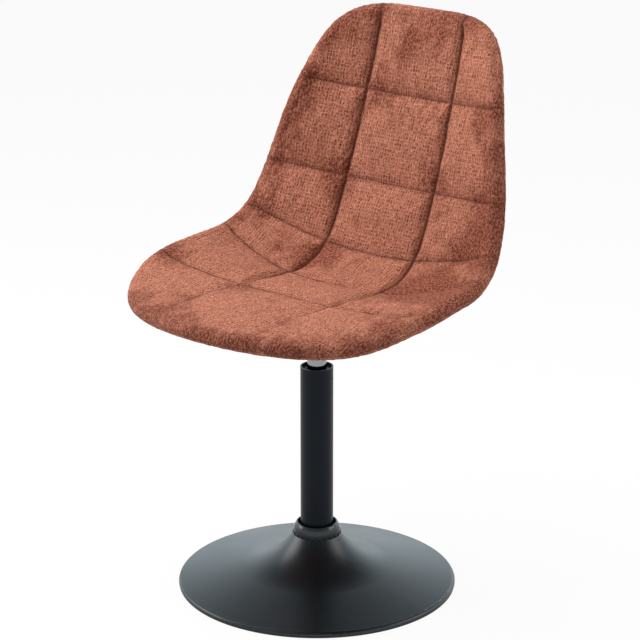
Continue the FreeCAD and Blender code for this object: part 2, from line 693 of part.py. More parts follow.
def build_plate(document, s):
    """The pressed seat plate, the lever bracket, its pin and the seat bolts."""
    flange_bottom = s.plate_top - s.plate_sheet
    tray_bottom = s.plate_top - s.tray_drop
    half_x = s.tray_width / 2
    half_y = s.tray_depth / 2
    plate = new_body(document, "seat_plate")
    flange_sketch = new_sketch(plate, "flange", "XY_Plane", flange_bottom)
    rounded_rectangle(flange_sketch, s.plate_width / 2, s.plate_depth / 2, s.plate_corner)
    pad(plate, flange_sketch, "flange_pad", s.plate_sheet)
    outer_top = new_sketch(plate, "tray_outer_top", "XY_Plane", flange_bottom)
    rounded_rectangle(outer_top, half_x, half_y, s.tray_corner)
    outer_bottom = new_sketch(plate, "tray_outer_bottom", "XY_Plane", tray_bottom)
    rounded_rectangle(
        outer_bottom, half_x - s.tray_draft, half_y - s.tray_draft, s.tray_corner)
    outer = plate.newObject("PartDesign::AdditiveLoft", "tray_outer")
    outer.Profile = (outer_top, [""])
    outer.Sections = [outer_bottom]
    inner_top = new_sketch(plate, "tray_inner_top", "XY_Plane", s.plate_top)
    rounded_rectangle(
        inner_top, half_x - s.plate_sheet, half_y - s.plate_sheet,
        s.tray_corner - s.plate_sheet)
    inner_bottom = new_sketch(
        plate, "tray_inner_bottom", "XY_Plane", tray_bottom + s.plate_sheet)
    rounded_rectangle(
        inner_bottom, half_x - s.tray_draft - s.plate_sheet,
        half_y - s.tray_draft - s.plate_sheet, s.tray_corner - s.plate_sheet)
    inner = plate.newObject("PartDesign::SubtractiveLoft", "tray_inner")
    inner.Profile = (inner_top, [""])
    inner.Sections = [inner_bottom]
    socket_radius = s.cylinder_diameter / 2 + s.socket_fit + s.socket_wall
    centre = new_sketch(plate, "socket_hole", "XY_Plane", tray_bottom)
    circle(centre, Size.of(0), Size.of(0), socket_radius + s.column_fit)
    pocket(plate, centre, "socket_hole_cut", s.plate_sheet, backwards=True)
    bolt_hole = s.bolt_diameter / 2 + s.bolt_clearance
    holes = new_sketch(plate, "bolt_holes", "XY_Plane", flange_bottom)
    for side_x, side_y in ((-1, -1), (1, -1), (1, 1), (-1, 1)):
        circle(holes, s.bolt_spacing_x * (side_x / 2), s.bolt_spacing_y * (side_y / 2),
               bolt_hole)
    pocket(plate, holes, "bolt_holes_cut", s.plate_sheet, backwards=True)

    lever_height = lever_axis_height(s)
    slot_half = s.lever_diameter / 2 + s.lever_slot_side
    slot_sketch = new_sketch(plate, "lever_slot", "YZ_Plane", -half_x)
    slot_low = lever_height - s.lever_diameter / 2 - s.lever_slot_side * 3
    outline(slot_sketch, [
        (-slot_half, slot_low), (slot_half, slot_low),
        (slot_half, flange_bottom), (-slot_half, flange_bottom)])
    pocket(plate, slot_sketch, "lever_slot_cut", s.tray_draft * 2, backwards=True)

    bracket_floor = tray_bottom + s.plate_sheet
    cheek_inside = s.eye_width / 2 + s.ear_gap
    cheek_outside = cheek_inside + s.ear_sheet
    cheek_top = lever_height + s.lever_pin_diameter
    bracket = new_body(document, "lever_bracket")
    bracket_sketch = new_sketch(bracket, "bracket_section", "YZ_Plane", -s.lever_pivot_x)
    outline(bracket_sketch, [
        (-cheek_outside, bracket_floor), (cheek_outside, bracket_floor),
        (cheek_outside, cheek_top), (cheek_inside, cheek_top),
        (cheek_inside, bracket_floor + s.ear_sheet / 2),
        (-cheek_inside, bracket_floor + s.ear_sheet / 2),
        (-cheek_inside, cheek_top), (-cheek_outside, cheek_top)])
    pad(bracket, bracket_sketch, "bracket_pad", s.eye_diameter, both_ways=True)
    pin_hole = new_sketch(bracket, "pin_hole", "XZ_Plane")
    circle(pin_hole, -s.lever_pivot_x, lever_height, s.lever_pin_diameter / 2 + s.socket_fit)
    pocket(bracket, pin_hole, "pin_hole_cut", cheek_outside * 2 + s.pivot_overhang, both_ways=True)

    pivot = new_body(document, "lever_pivot_pin")
    pivot_sketch = new_sketch(pivot, "pivot_section", "XZ_Plane")
    circle(pivot_sketch, -s.lever_pivot_x, lever_height, s.lever_pin_diameter / 2)
    pad(pivot, pivot_sketch, "pivot_pad", cheek_outside * 2 + s.pivot_overhang, both_ways=True)

    bolts = []
    inserts = []
    for side_x, side_y in ((-1, -1), (1, -1), (1, 1), (-1, 1)):
        x = s.bolt_spacing_x * (side_x / 2)
        y = s.bolt_spacing_y * (side_y / 2)
        tag = f"{len(bolts) + 1}"
        head_bottom = flange_bottom - s.bolt_head_height
        head = cylinder(document, f"bolt_head_{tag}", s.bolt_head_diameter / 2,
                        s.bolt_head_height, x, y, head_bottom)
        shank = cylinder(document, f"bolt_shank_{tag}", s.bolt_diameter / 2,
                         s.plate_sheet + s.insert_length, x, y, flange_bottom)
        key = document.addObject("Part::Prism", f"bolt_key_{tag}")
        key.Polygon = 6
        bind(key, Circumradius=s.bolt_diameter / 3, Height=s.bolt_head_height / 2)
        bind(key, Placement__Base__x=x, Placement__Base__y=y, Placement__Base__z=head_bottom)
        body = fuse(document, f"bolt_body_{tag}", [head, shank])
        bolts.append(cut(document, f"bolt_{tag}", body, key))
        sleeve = cylinder(document, f"insert_sleeve_{tag}", s.insert_diameter / 2,
                          s.insert_length, x, y, s.plate_top)
        thread = cylinder(document, f"insert_thread_{tag}",
                          s.bolt_diameter / 2 + s.column_fit, s.insert_length, x, y,
                          s.plate_top)
        inserts.append(cut(document, f"insert_{tag}", sleeve, thread))
    bolt_set = group(document, "seat_bolts", bolts)
    insert_set = group(document, "threaded_inserts", inserts)
    return [plate, bracket, pivot, bolt_set, insert_set]


def lever_axis_height(s):
    """The lever lies just above the release pin."""
    return (s.socket_bottom + s.cone_length + s.pin_stand + s.lever_gap
            + s.lever_diameter / 2)


def build_lever(document, s):
    """The release lever, a bent round bar with a flat eye, and its moulded grip."""
    height = lever_axis_height(s)
    lever = new_body(document, "release_lever")
    path = new_sketch(lever, "lever_path", "XZ_Plane")
    inner_end = FreeCAD.Vector(s.pin_diameter.value, height.value, 0)
    bend = FreeCAD.Vector(-s.lever_bend_x.value, height.value, 0)
    outer_end = FreeCAD.Vector(-s.lever_reach.value, height.value - s.lever_droop.value, 0)
    fall = (outer_end - bend)
    fall.normalize()
    turn = math.atan2(-fall.y, -fall.x)
    setback = s.lever_bend_radius.value * math.tan(turn / 2)
    start = FreeCAD.Vector(bend.x + setback, bend.y, 0)
    end = bend + fall * setback
    path.addGeometry(Part.LineSegment(inner_end, start), False)
    path.addGeometry(arc_between(start, end, s.lever_bend_radius.value, 1), False)
    path.addGeometry(Part.LineSegment(end, outer_end), False)
    path.addConstraint(Sketcher.Constraint("Tangent", 0, 2, 1, 1))
    path.addConstraint(Sketcher.Constraint("Tangent", 1, 2, 2, 1))
    path.addConstraint(Sketcher.Constraint("Horizontal", 0))
    row = path.addConstraint(Sketcher.Constraint("Radius", 1, s.lever_bend_radius.value))
    path.renameConstraint(row, "bend")
    path.setExpression("Constraints.bend", s.lever_bend_radius.text)
    run = s.lever_reach - s.lever_bend_x
    droop_angle = f"atan({s.lever_droop.text} / {run.text})"
    row = path.addConstraint(Sketcher.Constraint("DistanceX", -1, 1, 1, 1, start.x))
    path.renameConstraint(row, "bend_place")
    path.setExpression(
        "Constraints.bend_place",
        f"{s.lever_bend_radius.text} * tan({droop_angle} / 2) - {s.lever_bend_x.text}")
    place_point(path, 0, 1, s.pin_diameter, height)
    place_point(path, 2, 2, -s.lever_reach, height - s.lever_droop)
    section = new_sketch(lever, "lever_section", "YZ_Plane", s.pin_diameter)
    circle(section, Size.of(0), height, s.lever_diameter / 2)
    bar = lever.newObject("PartDesign::AdditivePipe", "lever_bar")
    bar.Profile = (section, [""])
    bar.Spine = (path, ["Edge1", "Edge2", "Edge3"])
    eye_sketch = new_sketch(lever, "lever_eye", "XZ_Plane")
    circle(eye_sketch, -s.lever_pivot_x, height, s.eye_diameter / 2)
    pad(lever, eye_sketch, "lever_eye_pad", s.eye_width, both_ways=True)
    hole_sketch = new_sketch(lever, "lever_hole", "XZ_Plane")
    circle(hole_sketch, -s.lever_pivot_x, height, s.lever_pin_diameter / 2 + s.lever_pin_fit)
    pocket(lever, hole_sketch, "lever_hole_cut", s.eye_width + 2, both_ways=True)

    bore = s.lever_diameter / 2 + s.column_fit
    grip_radius = s.grip_diameter / 2
    neck = grip_radius * GRIP_NECK_SHARE
    shoulder = s.grip_length * GRIP_SHOULDER_SHARE
    tip = s.grip_length - grip_radius * GRIP_END_SHARE
    cover = s.grip_length - s.lever_diameter
    grip = turned(document, "lever_grip", [
        (bore, Size.of(0)),
        (neck, Size.of(0)),
        (neck, s.grip_length * GRIP_LIP_SHARE),
        (grip_radius, shoulder),
        (grip_radius, tip),
        (grip_radius * GRIP_END_SHARE, s.grip_length),
        (Size.of(0), s.grip_length),
        (Size.of(0), cover),
        (bore, cover),
    ], {2: (s.grip_length * GRIP_DOME_SHARE, -1), 4: (grip_radius * GRIP_END_SHARE, 1)})
    grip.Placement = FreeCAD.Placement(
        FreeCAD.Vector(0, 0, 0), FreeCAD.Rotation(FreeCAD.Vector(0, -1, 0), 90))
    grip.setExpression("Placement.Rotation.Angle", f"90 + {droop_angle} / 1deg")
    grip.setExpression(
        "Placement.Base.x", f"{cover.text} * cos({droop_angle}) - {s.lever_reach.text}")
    grip.setExpression(
        "Placement.Base.z",
        f"{height.text} - {s.lever_droop.text} + {cover.text} * sin({droop_angle})")
    return [lever, grip]


def eased(place, stations, values):
    """A smooth curve through values at stations, with no overshoot between them."""
    gaps = [right - left for left, right in zip(stations, stations[1:])]
    rises = [(right - left) / gap for left, right, gap in zip(values, values[1:], gaps)]
    slopes = [rises[0]]
    for before, after in zip(rises, rises[1:]):
        slopes.append(0.0 if before * after <= 0 else 2 * before * after / (before + after))
    slopes.append(rises[-1])
    index = 0
    while index < len(gaps) - 1 and place > stations[index + 1]:
        index += 1
    gap = gaps[index]
    part = min(max((place - stations[index]) / gap, 0.0), 1.0)
    return ((2 * part ** 3 - 3 * part ** 2 + 1) * values[index]
            + (part ** 3 - 2 * part ** 2 + part) * gap * slopes[index]
            + (3 * part ** 2 - 2 * part ** 3) * values[index + 1]
            + (part ** 3 - part ** 2) * gap * slopes[index + 1])


def rounded_end(distance, length, roundness):
    """How much of the full width an outline has at a distance from its tip."""
    left = 1 - min(max(distance / length, 0.0), 1.0)
    return (1 - left ** roundness) ** (1 / roundness)


class BucketForm:
    """The curved middle surface of the seat and back, from the front to the top."""

    def __init__(self, s):
        self.rim = s.rim_radius.value
        self.fall = math.radians(s.seat_fall.value)
        self.roll = math.radians(s.front_roll.value)
        self.roll_length = s.front_roll_length.value
        self.turn = math.pi / 2 - math.radians(s.back_recline.value) + self.fall
        self.curl = math.radians(s.back_curl.value)
        self.bend_start = s.seat_length.value
        self.bend_length = s.bend_radius.value * self.turn
        self.length = self.bend_start + self.bend_length + s.back_length.value
        self.back_length = s.back_length.value
        self.front_round = s.front_round_length.value
        self.top_round = s.top_round_length.value
        self.seam = s.seam_spacing.value
        self.seam_top = s.seam_spacing_top.value
        self.widths = [size.value for size in (
            s.half_width_front, s.half_width_seat, s.half_width_bend,
            s.half_width_waist, s.half_width_back, s.half_width_top)]
        self.wings = [size.value for size in (
            s.wing_front, s.wing_lip, s.wing_seat, s.wing_bend,
            s.wing_waist, s.wing_back, s.wing_top)]
        self.samples = self.trace(-s.seat_front.value, s.seat_front_height.value)

    def heading(self, distance):
        """Direction of the profile, from +Y towards +Z."""
        front = min(max(1 - distance / self.roll_length, 0.0), 1.0)
        bend = min(max((distance - self.bend_start) / self.bend_length, 0.0), 1.0)
        back = (distance - self.bend_start - self.bend_length) / self.back_length
        back = min(max(back, 0.0), 1.0)
        swing = BEND_EASE * bend * bend * (3 - 2 * bend) + (1 - BEND_EASE) * bend
        return -self.fall + self.roll * front + self.turn * swing + self.curl * back

    def trace(self, y, z):
        """Points of the profile at every step along it."""
        points = [(y, z)]
        for index in range(int(self.length / PROFILE_STEP) + 1):
            angle = self.heading((index + 0.5) * PROFILE_STEP)
            y += PROFILE_STEP * math.cos(angle)
            z += PROFILE_STEP * math.sin(angle)
            points.append((y, z))
        return points

    def at(self, distance):
        """The profile's point and heading, carried on straight past either tip."""
        inside = min(max(distance, 0.0), self.length)
        index = min(int(inside / PROFILE_STEP), len(self.samples) - 2)
        part = inside / PROFILE_STEP - index
        angle = self.heading(inside)
        beyond = distance - inside
        y = self.samples[index][0] * (1 - part) + self.samples[index + 1][0] * part
        z = self.samples[index][1] * (1 - part) + self.samples[index + 1][1] * part
        return y + beyond * math.cos(angle), z + beyond * math.sin(angle), angle

    def full_width(self, distance):
        return eased(distance / self.length, WIDTH_STATIONS, self.widths)

    def wing(self, distance):
        return eased(distance / self.length, WING_STATIONS, self.wings)

    def half_width(self, distance, outset):
        """Half width of the outline that lies outset outside the middle surface's."""
        front = rounded_end(distance + outset, self.front_round + outset, FRONT_ROUNDNESS)
        top = rounded_end(
            self.length + outset - distance, self.top_round + outset, TOP_ROUNDNESS)
        return (self.full_width(distance) + outset) * front * top

    def thickness(self, distance):
        """Half thickness of the upholstered seat, rounded off at the two tips."""
        depth = min(distance, self.length - distance) + self.rim
        left = 1 - min(max(depth / self.rim, 0.0), 1.0)
        return self.rim * math.sqrt(1 - left * left)

    def seam_place(self, distance):
        part = distance / self.length
        return self.seam + (self.seam_top - self.seam) * part * part

    def frame(self, distance):
        """Ways from the section's own coordinates into the seat's frame."""
        y, z, angle = self.at(distance)
        wing = self.wing(distance)
        width = self.full_width(distance)

        def spot(x, outward):
            side = abs(x) / width
            rise = wing * side ** WING_POWER
            slope = WING_POWER * wing / width * side ** (WING_POWER - 1)
            slope = math.copysign(slope, x)
            scale = outward / math.hypot(1, slope)
            return x - slope * scale, rise + scale, slope

        def place(x, lift):
            return FreeCAD.Vector(
                x, y - lift * math.sin(angle), z + lift * math.cos(angle))

        return spot, place

    def stations(self, ends):
        """Distances of the sections: ends gives those nearest to the two tips."""
        marks = [0.0, *CROSS_SEAMS, 1.0]
        low = -self.rim
        high = self.length + self.rim
        first = low + ends[-1] + STATION_GAP / 2
        last = high - ends[-1] - STATION_GAP / 2
        places = []
        for left, right in zip(marks, marks[1:]):
            panel = (right - left) * self.length
            count = round(panel / STATION_GAP)
            for step in range(count):
                place = left * self.length + panel * step / count
                if first < place < last:
                    places.append(place)
        return [low + end for end in ends] + places + [high - end for end in reversed(ends)]


def mirrored(points):
    return [(-x, lift) for x, lift in points]


def section_wire(place, edges):
    """A closed section from edges of two points (a line) or three (an arc)."""
    shapes = []
    for points in edges:
        spots = [place(x, lift) for x, lift in points]
        if len(spots) == 2:
            shapes.append(Part.LineSegment(*spots).toShape())
        else:
            shapes.append(Part.Arc(*spots).toShape())
    return Part.Wire(shapes)


def both_sides(right_edges, middle_edges):
    """Edges of the right half and, mirrored and turned round, of the left half."""
    left = [list(reversed(mirrored(points))) for points in reversed(right_edges)]
    return right_edges + middle_edges + left


def rim_point(spot, x, radius_out, radius_up, angle):
    """A point of the rim's round, at an angle up from the outward direction."""
    centre_x, centre_lift, slope = spot(x, 0.0)
    scale = 1 / math.hypot(1, slope)
    out = radius_out * math.cos(math.radians(angle)) * scale
    up = radius_up * math.sin(math.radians(angle)) * scale
    return centre_x + out - slope * up, centre_lift + up + slope * out


def shell_section(form, s, distance):
    spot, place = form.frame(distance)
    half = s.shell_thickness.value / 2
    width = form.half_width(distance, form.rim - s.shell_inset.value)
    top = [spot(width, half)[:2], spot(width / 2, half)[:2], (0.0, half)]
    bottom = [(0.0, -half), spot(width / 2, -half)[:2], spot(width, -half)[:2]]
    edge = [bottom[-1], top[0]]
    return section_wire(place, both_sides([bottom, edge, top], []))


def cross_sink(form, s, distance):
    """How far the quilted front is drawn in near a cross seam."""
    marks = [0.0, *CROSS_SEAMS, 1.0]
    share = min(max(distance / form.length, 0.0), 1.0)
    for left, right in zip(marks, marks[1:]):
        middle = (left + right) / 2
        if share > right:
            continue
        nearest = left if share < middle else right
        if nearest in (0.0, 1.0):
            return 0.0
        wave = math.sin(math.pi * (share - left) / (right - left))
        return s.cross_seam_depth.value * (1 - math.sqrt(max(wave, 0.0)))
    return 0.0


def quilted_edges(form, s, distance):
    """The quilted front's edges: the middle panel, and the right side to the rim."""
    spot, place = form.frame(distance)
    thickness = form.thickness(distance)
    fullness = thickness / form.rim
    width = form.half_width(distance, form.rim)
    half = s.shell_thickness.value / 2
    front = thickness - cross_sink(form, s, distance) * fullness
    seam_x = min(form.seam_place(distance), SEAM_REACH * width)
    shoulder = min(s.seam_shoulder.value, SHOULDER_REACH * (width - seam_x),
                   SHOULDER_REACH * seam_x)
    depth = min(s.seam_depth.value * fullness, SHOULDER_STEEPNESS * shoulder)
    rim_x = max(width - thickness, seam_x + PAD_RIM_START * (width - seam_x))
    crown = s.panel_crown.value * fullness
    side_crown = crown * min(1.0, (rim_x - seam_x - shoulder) / seam_x)
    rim_out = width - rim_x

    def round_shoulder(start_x, end_x):
        """A quarter-round edge of a panel, from its top down into the seam."""
        middle_x = start_x + (end_x - start_x) * SHOULDER_MIDDLE
        middle_up = front - depth * SHOULDER_DROP
        return [spot(start_x, front)[:2], spot(middle_x, middle_up)[:2],
                spot(end_x, front - depth)[:2]]

    inner_shoulder = round_shoulder(seam_x - shoulder, seam_x)
    outer_shoulder = list(reversed(round_shoulder(seam_x + shoulder, seam_x)))
    middle = [mirrored([inner_shoulder[0]])[0], (0.0, front + crown), inner_shoulder[0]]
    side = [outer_shoulder[-1],
            spot((seam_x + shoulder + rim_x) / 2, front + side_crown)[:2],
            rim_point(spot, rim_x, 0.0, front, 90)]
    lowest = math.degrees(math.asin(half / thickness))
    rim = [side[-1], rim_point(spot, rim_x, rim_out, front, PAD_RIM_ANGLE),
           rim_point(spot, rim_x, rim_out, thickness, -lowest)]
    return place, spot, middle, [inner_shoulder, outer_shoulder, side, rim]


def closed_section(place, middle, right_edges):
    """The section from its middle panel, its right half and that half's mirror."""
    left = [list(reversed(mirrored(points))) for points in reversed(right_edges)]
    return section_wire(place, right_edges + left + [middle])


def pad_section(form, s, distance):
    """The quilted pad where it wraps round the edge of the shell."""
    place, spot, middle, right_edges = quilted_edges(form, s, distance)
    half = s.shell_thickness.value / 2
    back = half + s.layer_gap.value
    shell_x = form.half_width(distance, form.rim - s.shell_inset.value)
    notch_x = max(shell_x, NOTCH_REACH * form.half_width(distance, form.rim))
    notch_x += s.layer_gap.value
    lip = [right_edges[-1][-1], spot(notch_x, -half)[:2]]
    wall = [lip[-1], spot(notch_x, back)[:2]]
    inside = [wall[-1], spot(notch_x / 2, back)[:2], (0.0, back)]
    return closed_section(place, middle, right_edges + [lip, wall, inside])


def pad_end_section(form, s, distance):
    """The quilted pad past the shell's front or top end, with nothing inside."""
    place, spot, middle, right_edges = quilted_edges(form, s, distance)
    half = s.shell_thickness.value / 2
    lowest = right_edges[-1][-1]
    under = [lowest, spot(lowest[0] / 2, -half)[:2], (0.0, -half)]
    return closed_section(place, middle, right_edges + [under])


def cover_section(form, s, distance):
    """The plain back cover, from the rim round the underside."""
    spot, place = form.frame(distance)
    thickness = form.thickness(distance)
    width = form.half_width(distance, form.rim)
    seam_x = min(form.seam_place(distance), SEAM_REACH * width)
    rim_x = max(width - thickness, seam_x + COVER_RIM_START * (width - seam_x))
    rim_out = width - rim_x
    top = s.shell_thickness.value / 2 + s.cover_gap.value
    highest = math.degrees(math.asin(top / thickness))
    start = rim_point(spot, rim_x, rim_out, thickness, -highest)
    rim = [start, rim_point(spot, rim_x, rim_out, thickness, -(highest + 90) / 2),
           rim_point(spot, rim_x, 0.0, thickness, -90)]
    under = [rim[-1], spot(rim_x / 2, -thickness)[:2], (0.0, -thickness)]
    inside = [(0.0, -top), spot(start[0] / 2, -top)[:2], start]
    right_edges = [inside, rim, under]
    left = [list(reversed(mirrored(points))) for points in reversed(right_edges)]
    return section_wire(place, right_edges + left)


def lofted(document, label, form, s, section, stations):
    """A solid through the sections at the given distances along the profile."""
    wires = [section(form, s, distance) for distance in stations]
    piece = document.addObject("Part::Feature", label)
    piece.Label = label
    piece.Shape = Part.makeLoft(wires, True, False)
    return piece


def build_seat(document, s):
    """The moulded inner shell with its bosses, the quilted pad and the back cover."""
    form = BucketForm(s)
    inset = s.shell_inset.value
    near_tip = [inset * share for share in TIP_STATIONS]
    shared = [inset + place for place in near_tip]
    shared += [inset + share * form.rim for share in ROUND_STATIONS]
    shell_stations = form.stations(shared)
    pad_stations = form.stations([inset - s.layer_gap.value] + shared)
    cover_stations = form.stations(near_tip + shared[1:])
    front_end = [-form.rim + place for place in near_tip[:-1]] + pad_stations[:1]
    top_end = pad_stations[-1:] + [form.length + form.rim - place
                                   for place in reversed(near_tip[:-1])]
    shell_loft = lofted(document, "shell_loft", form, s, shell_section, shell_stations)
    cover_loft = lofted(document, "cover_loft", form, s, cover_section, cover_stations)
    quilt = fuse(document, "quilted_pad", [
        lofted(document, "pad_front_end", form, s, pad_end_section, front_end),
        lofted(document, "pad_middle", form, s, pad_section, pad_stations),
        lofted(document, "pad_top_end", form, s, pad_end_section, top_end),
    ])
    bosses = []
    rooms = []
    sockets = []
    for side_x, side_y in ((-1, -1), (1, -1), (1, 1), (-1, 1)):
        x = s.bolt_spacing_x * (side_x / 2)
        y = s.bolt_spacing_y * (side_y / 2)
        tag = f"{len(bosses) + 1}"
        height = Size.of(middle_height(form, x.value, y.value)) - s.plate_top
        bosses.append(cylinder(
            document, f"boss_{tag}", s.boss_diameter / 2, height, x, y, s.plate_top))
        rooms.append(cylinder(
            document, f"boss_room_{tag}", s.boss_diameter / 2 + s.boss_clearance,
            height, x, y, s.plate_top))
        sockets.append(cylinder(
            document, f"insert_room_{tag}", s.insert_diameter / 2 + s.column_fit,
            s.insert_length + s.layer_gap, x, y, s.plate_top))
    solid_shell = fuse(document, "shell_with_bosses", [shell_loft, *bosses])
    shell = cut(document, "seat_shell", solid_shell,
                group(document, "insert_rooms", sockets))
    cover = cut(document, "back_cover", cover_loft, group(document, "boss_rooms", rooms))
    return [shell, quilt, cover]


def middle_height(form, x, y):
    """Height of the middle surface over a place of the plate."""
    distance = 0.0
    while form.at(distance)[0] < y:
        distance += PROFILE_STEP
    spot, place = form.frame(distance)
    lift = spot(x, 0.0)[1]
    return place(x, lift).z


def check(document, pieces):
    """Stop on a failed object or a bad shape before anything is written."""
    for item in document.Objects:
        if "Invalid" in item.State or "Error" in item.State:
            raise RuntimeError(f"{item.Label} did not build")
    for piece in pieces:
        shape = piece.Shape
        if shape.isNull() or not shape.isValid() or not shape.Solids:
            raise RuntimeError(f"{piece.Label} has no valid solid")


def main():
    document = FreeCAD.newDocument("swivel_chair")
    s = Sizes(document)
    document.recompute()
    pieces = []
    pieces += build_base(document, s)
    pieces += build_column(document, s)
    pieces += build_bearing(document, s)
    pieces += build_cylinder(document, s)
    pieces += build_plate(document, s)
    pieces += build_lever(document, s)
    pieces += build_seat(document, s)
    document.recompute()
    check(document, pieces)
    os.makedirs("parts", exist_ok=True)
    for piece in pieces:
        piece.Shape.exportStep(os.path.join("parts", f"{piece.Label}.step"))
        box = piece.Shape.optimalBoundingBox()
        print(piece.Label, len(piece.Shape.Solids), "solids",
              f"volume {piece.Shape.Volume:.0f}",
              f"x {box.XMin:.1f} to {box.XMax:.1f}, y {box.YMin:.1f} to {box.YMax:.1f},",
              f"z {box.ZMin:.2f} to {box.ZMax:.2f}")


main()
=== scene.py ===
"""Looks of the swivel dining chair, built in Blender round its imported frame.

Everything is in metres in the frame of the CAD model: +Z up, the floor at Z = 0, the
column on the Z axis, the chair facing -Y and the sitter's left at +X.
"""
import json
import logging
import math
from dataclasses import dataclass, field
from enum import Enum
from functools import cached_property
from typing import Any, Callable, Iterable, Sequence

import bmesh
import bpy
import numpy as np
from mathutils import Matrix, Vector

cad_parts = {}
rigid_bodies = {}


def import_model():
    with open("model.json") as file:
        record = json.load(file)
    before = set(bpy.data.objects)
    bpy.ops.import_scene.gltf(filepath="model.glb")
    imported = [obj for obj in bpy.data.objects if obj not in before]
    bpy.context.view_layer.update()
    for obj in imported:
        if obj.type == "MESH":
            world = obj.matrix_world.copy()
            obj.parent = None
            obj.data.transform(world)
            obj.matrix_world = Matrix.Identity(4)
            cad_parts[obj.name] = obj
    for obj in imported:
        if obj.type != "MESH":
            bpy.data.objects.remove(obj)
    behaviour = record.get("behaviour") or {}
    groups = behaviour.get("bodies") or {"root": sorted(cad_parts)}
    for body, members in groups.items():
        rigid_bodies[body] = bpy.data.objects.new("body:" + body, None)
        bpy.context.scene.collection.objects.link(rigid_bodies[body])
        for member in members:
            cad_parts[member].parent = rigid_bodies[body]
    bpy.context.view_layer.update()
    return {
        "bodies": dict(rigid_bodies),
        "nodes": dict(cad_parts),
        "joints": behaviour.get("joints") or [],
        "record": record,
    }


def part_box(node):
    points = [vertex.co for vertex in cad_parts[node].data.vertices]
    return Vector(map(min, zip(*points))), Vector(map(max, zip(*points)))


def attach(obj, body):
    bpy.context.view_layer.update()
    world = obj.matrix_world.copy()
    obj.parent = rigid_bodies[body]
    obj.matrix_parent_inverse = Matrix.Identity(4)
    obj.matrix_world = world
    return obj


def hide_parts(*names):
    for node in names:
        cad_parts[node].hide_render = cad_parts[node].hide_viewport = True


LOG = logging.getLogger("swivel_chair")
MM = 0.001
Colour = tuple[float, float, float]


# Shader maths


def math_step(operation: str, turned: bool = False) -> Callable[..., "Signal"]:
    """A method of a signal that adds one Math node.

    Args:
        operation: What the node does.
        turned: Whether the other value comes first.

    Returns:
        The method, which takes the other value if the operation needs one.
    """
    def step(self: "Signal", other: Any = None) -> "Signal":
        """Add the node and hand its value on."""
        values = (other, self) if turned else (self, other)
        return self.sheet.node("ShaderNodeMath", {"operation": operation}, values)
    return step


class Signal:
    """A value or colour on its way through the nodes of one material."""

    __add__ = __radd__ = math_step("ADD")
    __sub__ = math_step("SUBTRACT")
    __rsub__ = math_step("SUBTRACT", turned=True)
    __mul__ = __rmul__ = math_step("MULTIPLY")
    __truediv__ = math_step("DIVIDE")
    __abs__ = math_step("ABSOLUTE")
    floor = math_step("FLOOR")
    fraction = math_step("FRACT")
    most = math_step("MAXIMUM")

    def __init__(self, sheet: "NodeSheet", socket: Any) -> None:
        """Keep the sheet of nodes and the socket that the value comes from."""
        self.sheet = sheet
        self.socket = socket

    def ramp(self, low: float, high: float) -> "Signal":
        """A smooth step from 0 at low to 1 at high.

        Args:
            low: Where the step starts.
            high: Where the step ends; lower than low turns it round.

        Returns:
            The step's value, kept from 0 to 1.
        """
        if low > high:
            return 1.0 - self.ramp(high, low)
        settings = {"interpolation_type": "SMOOTHSTEP"}
        return self.sheet.node("ShaderNodeMapRange", settings, (self, low, high))


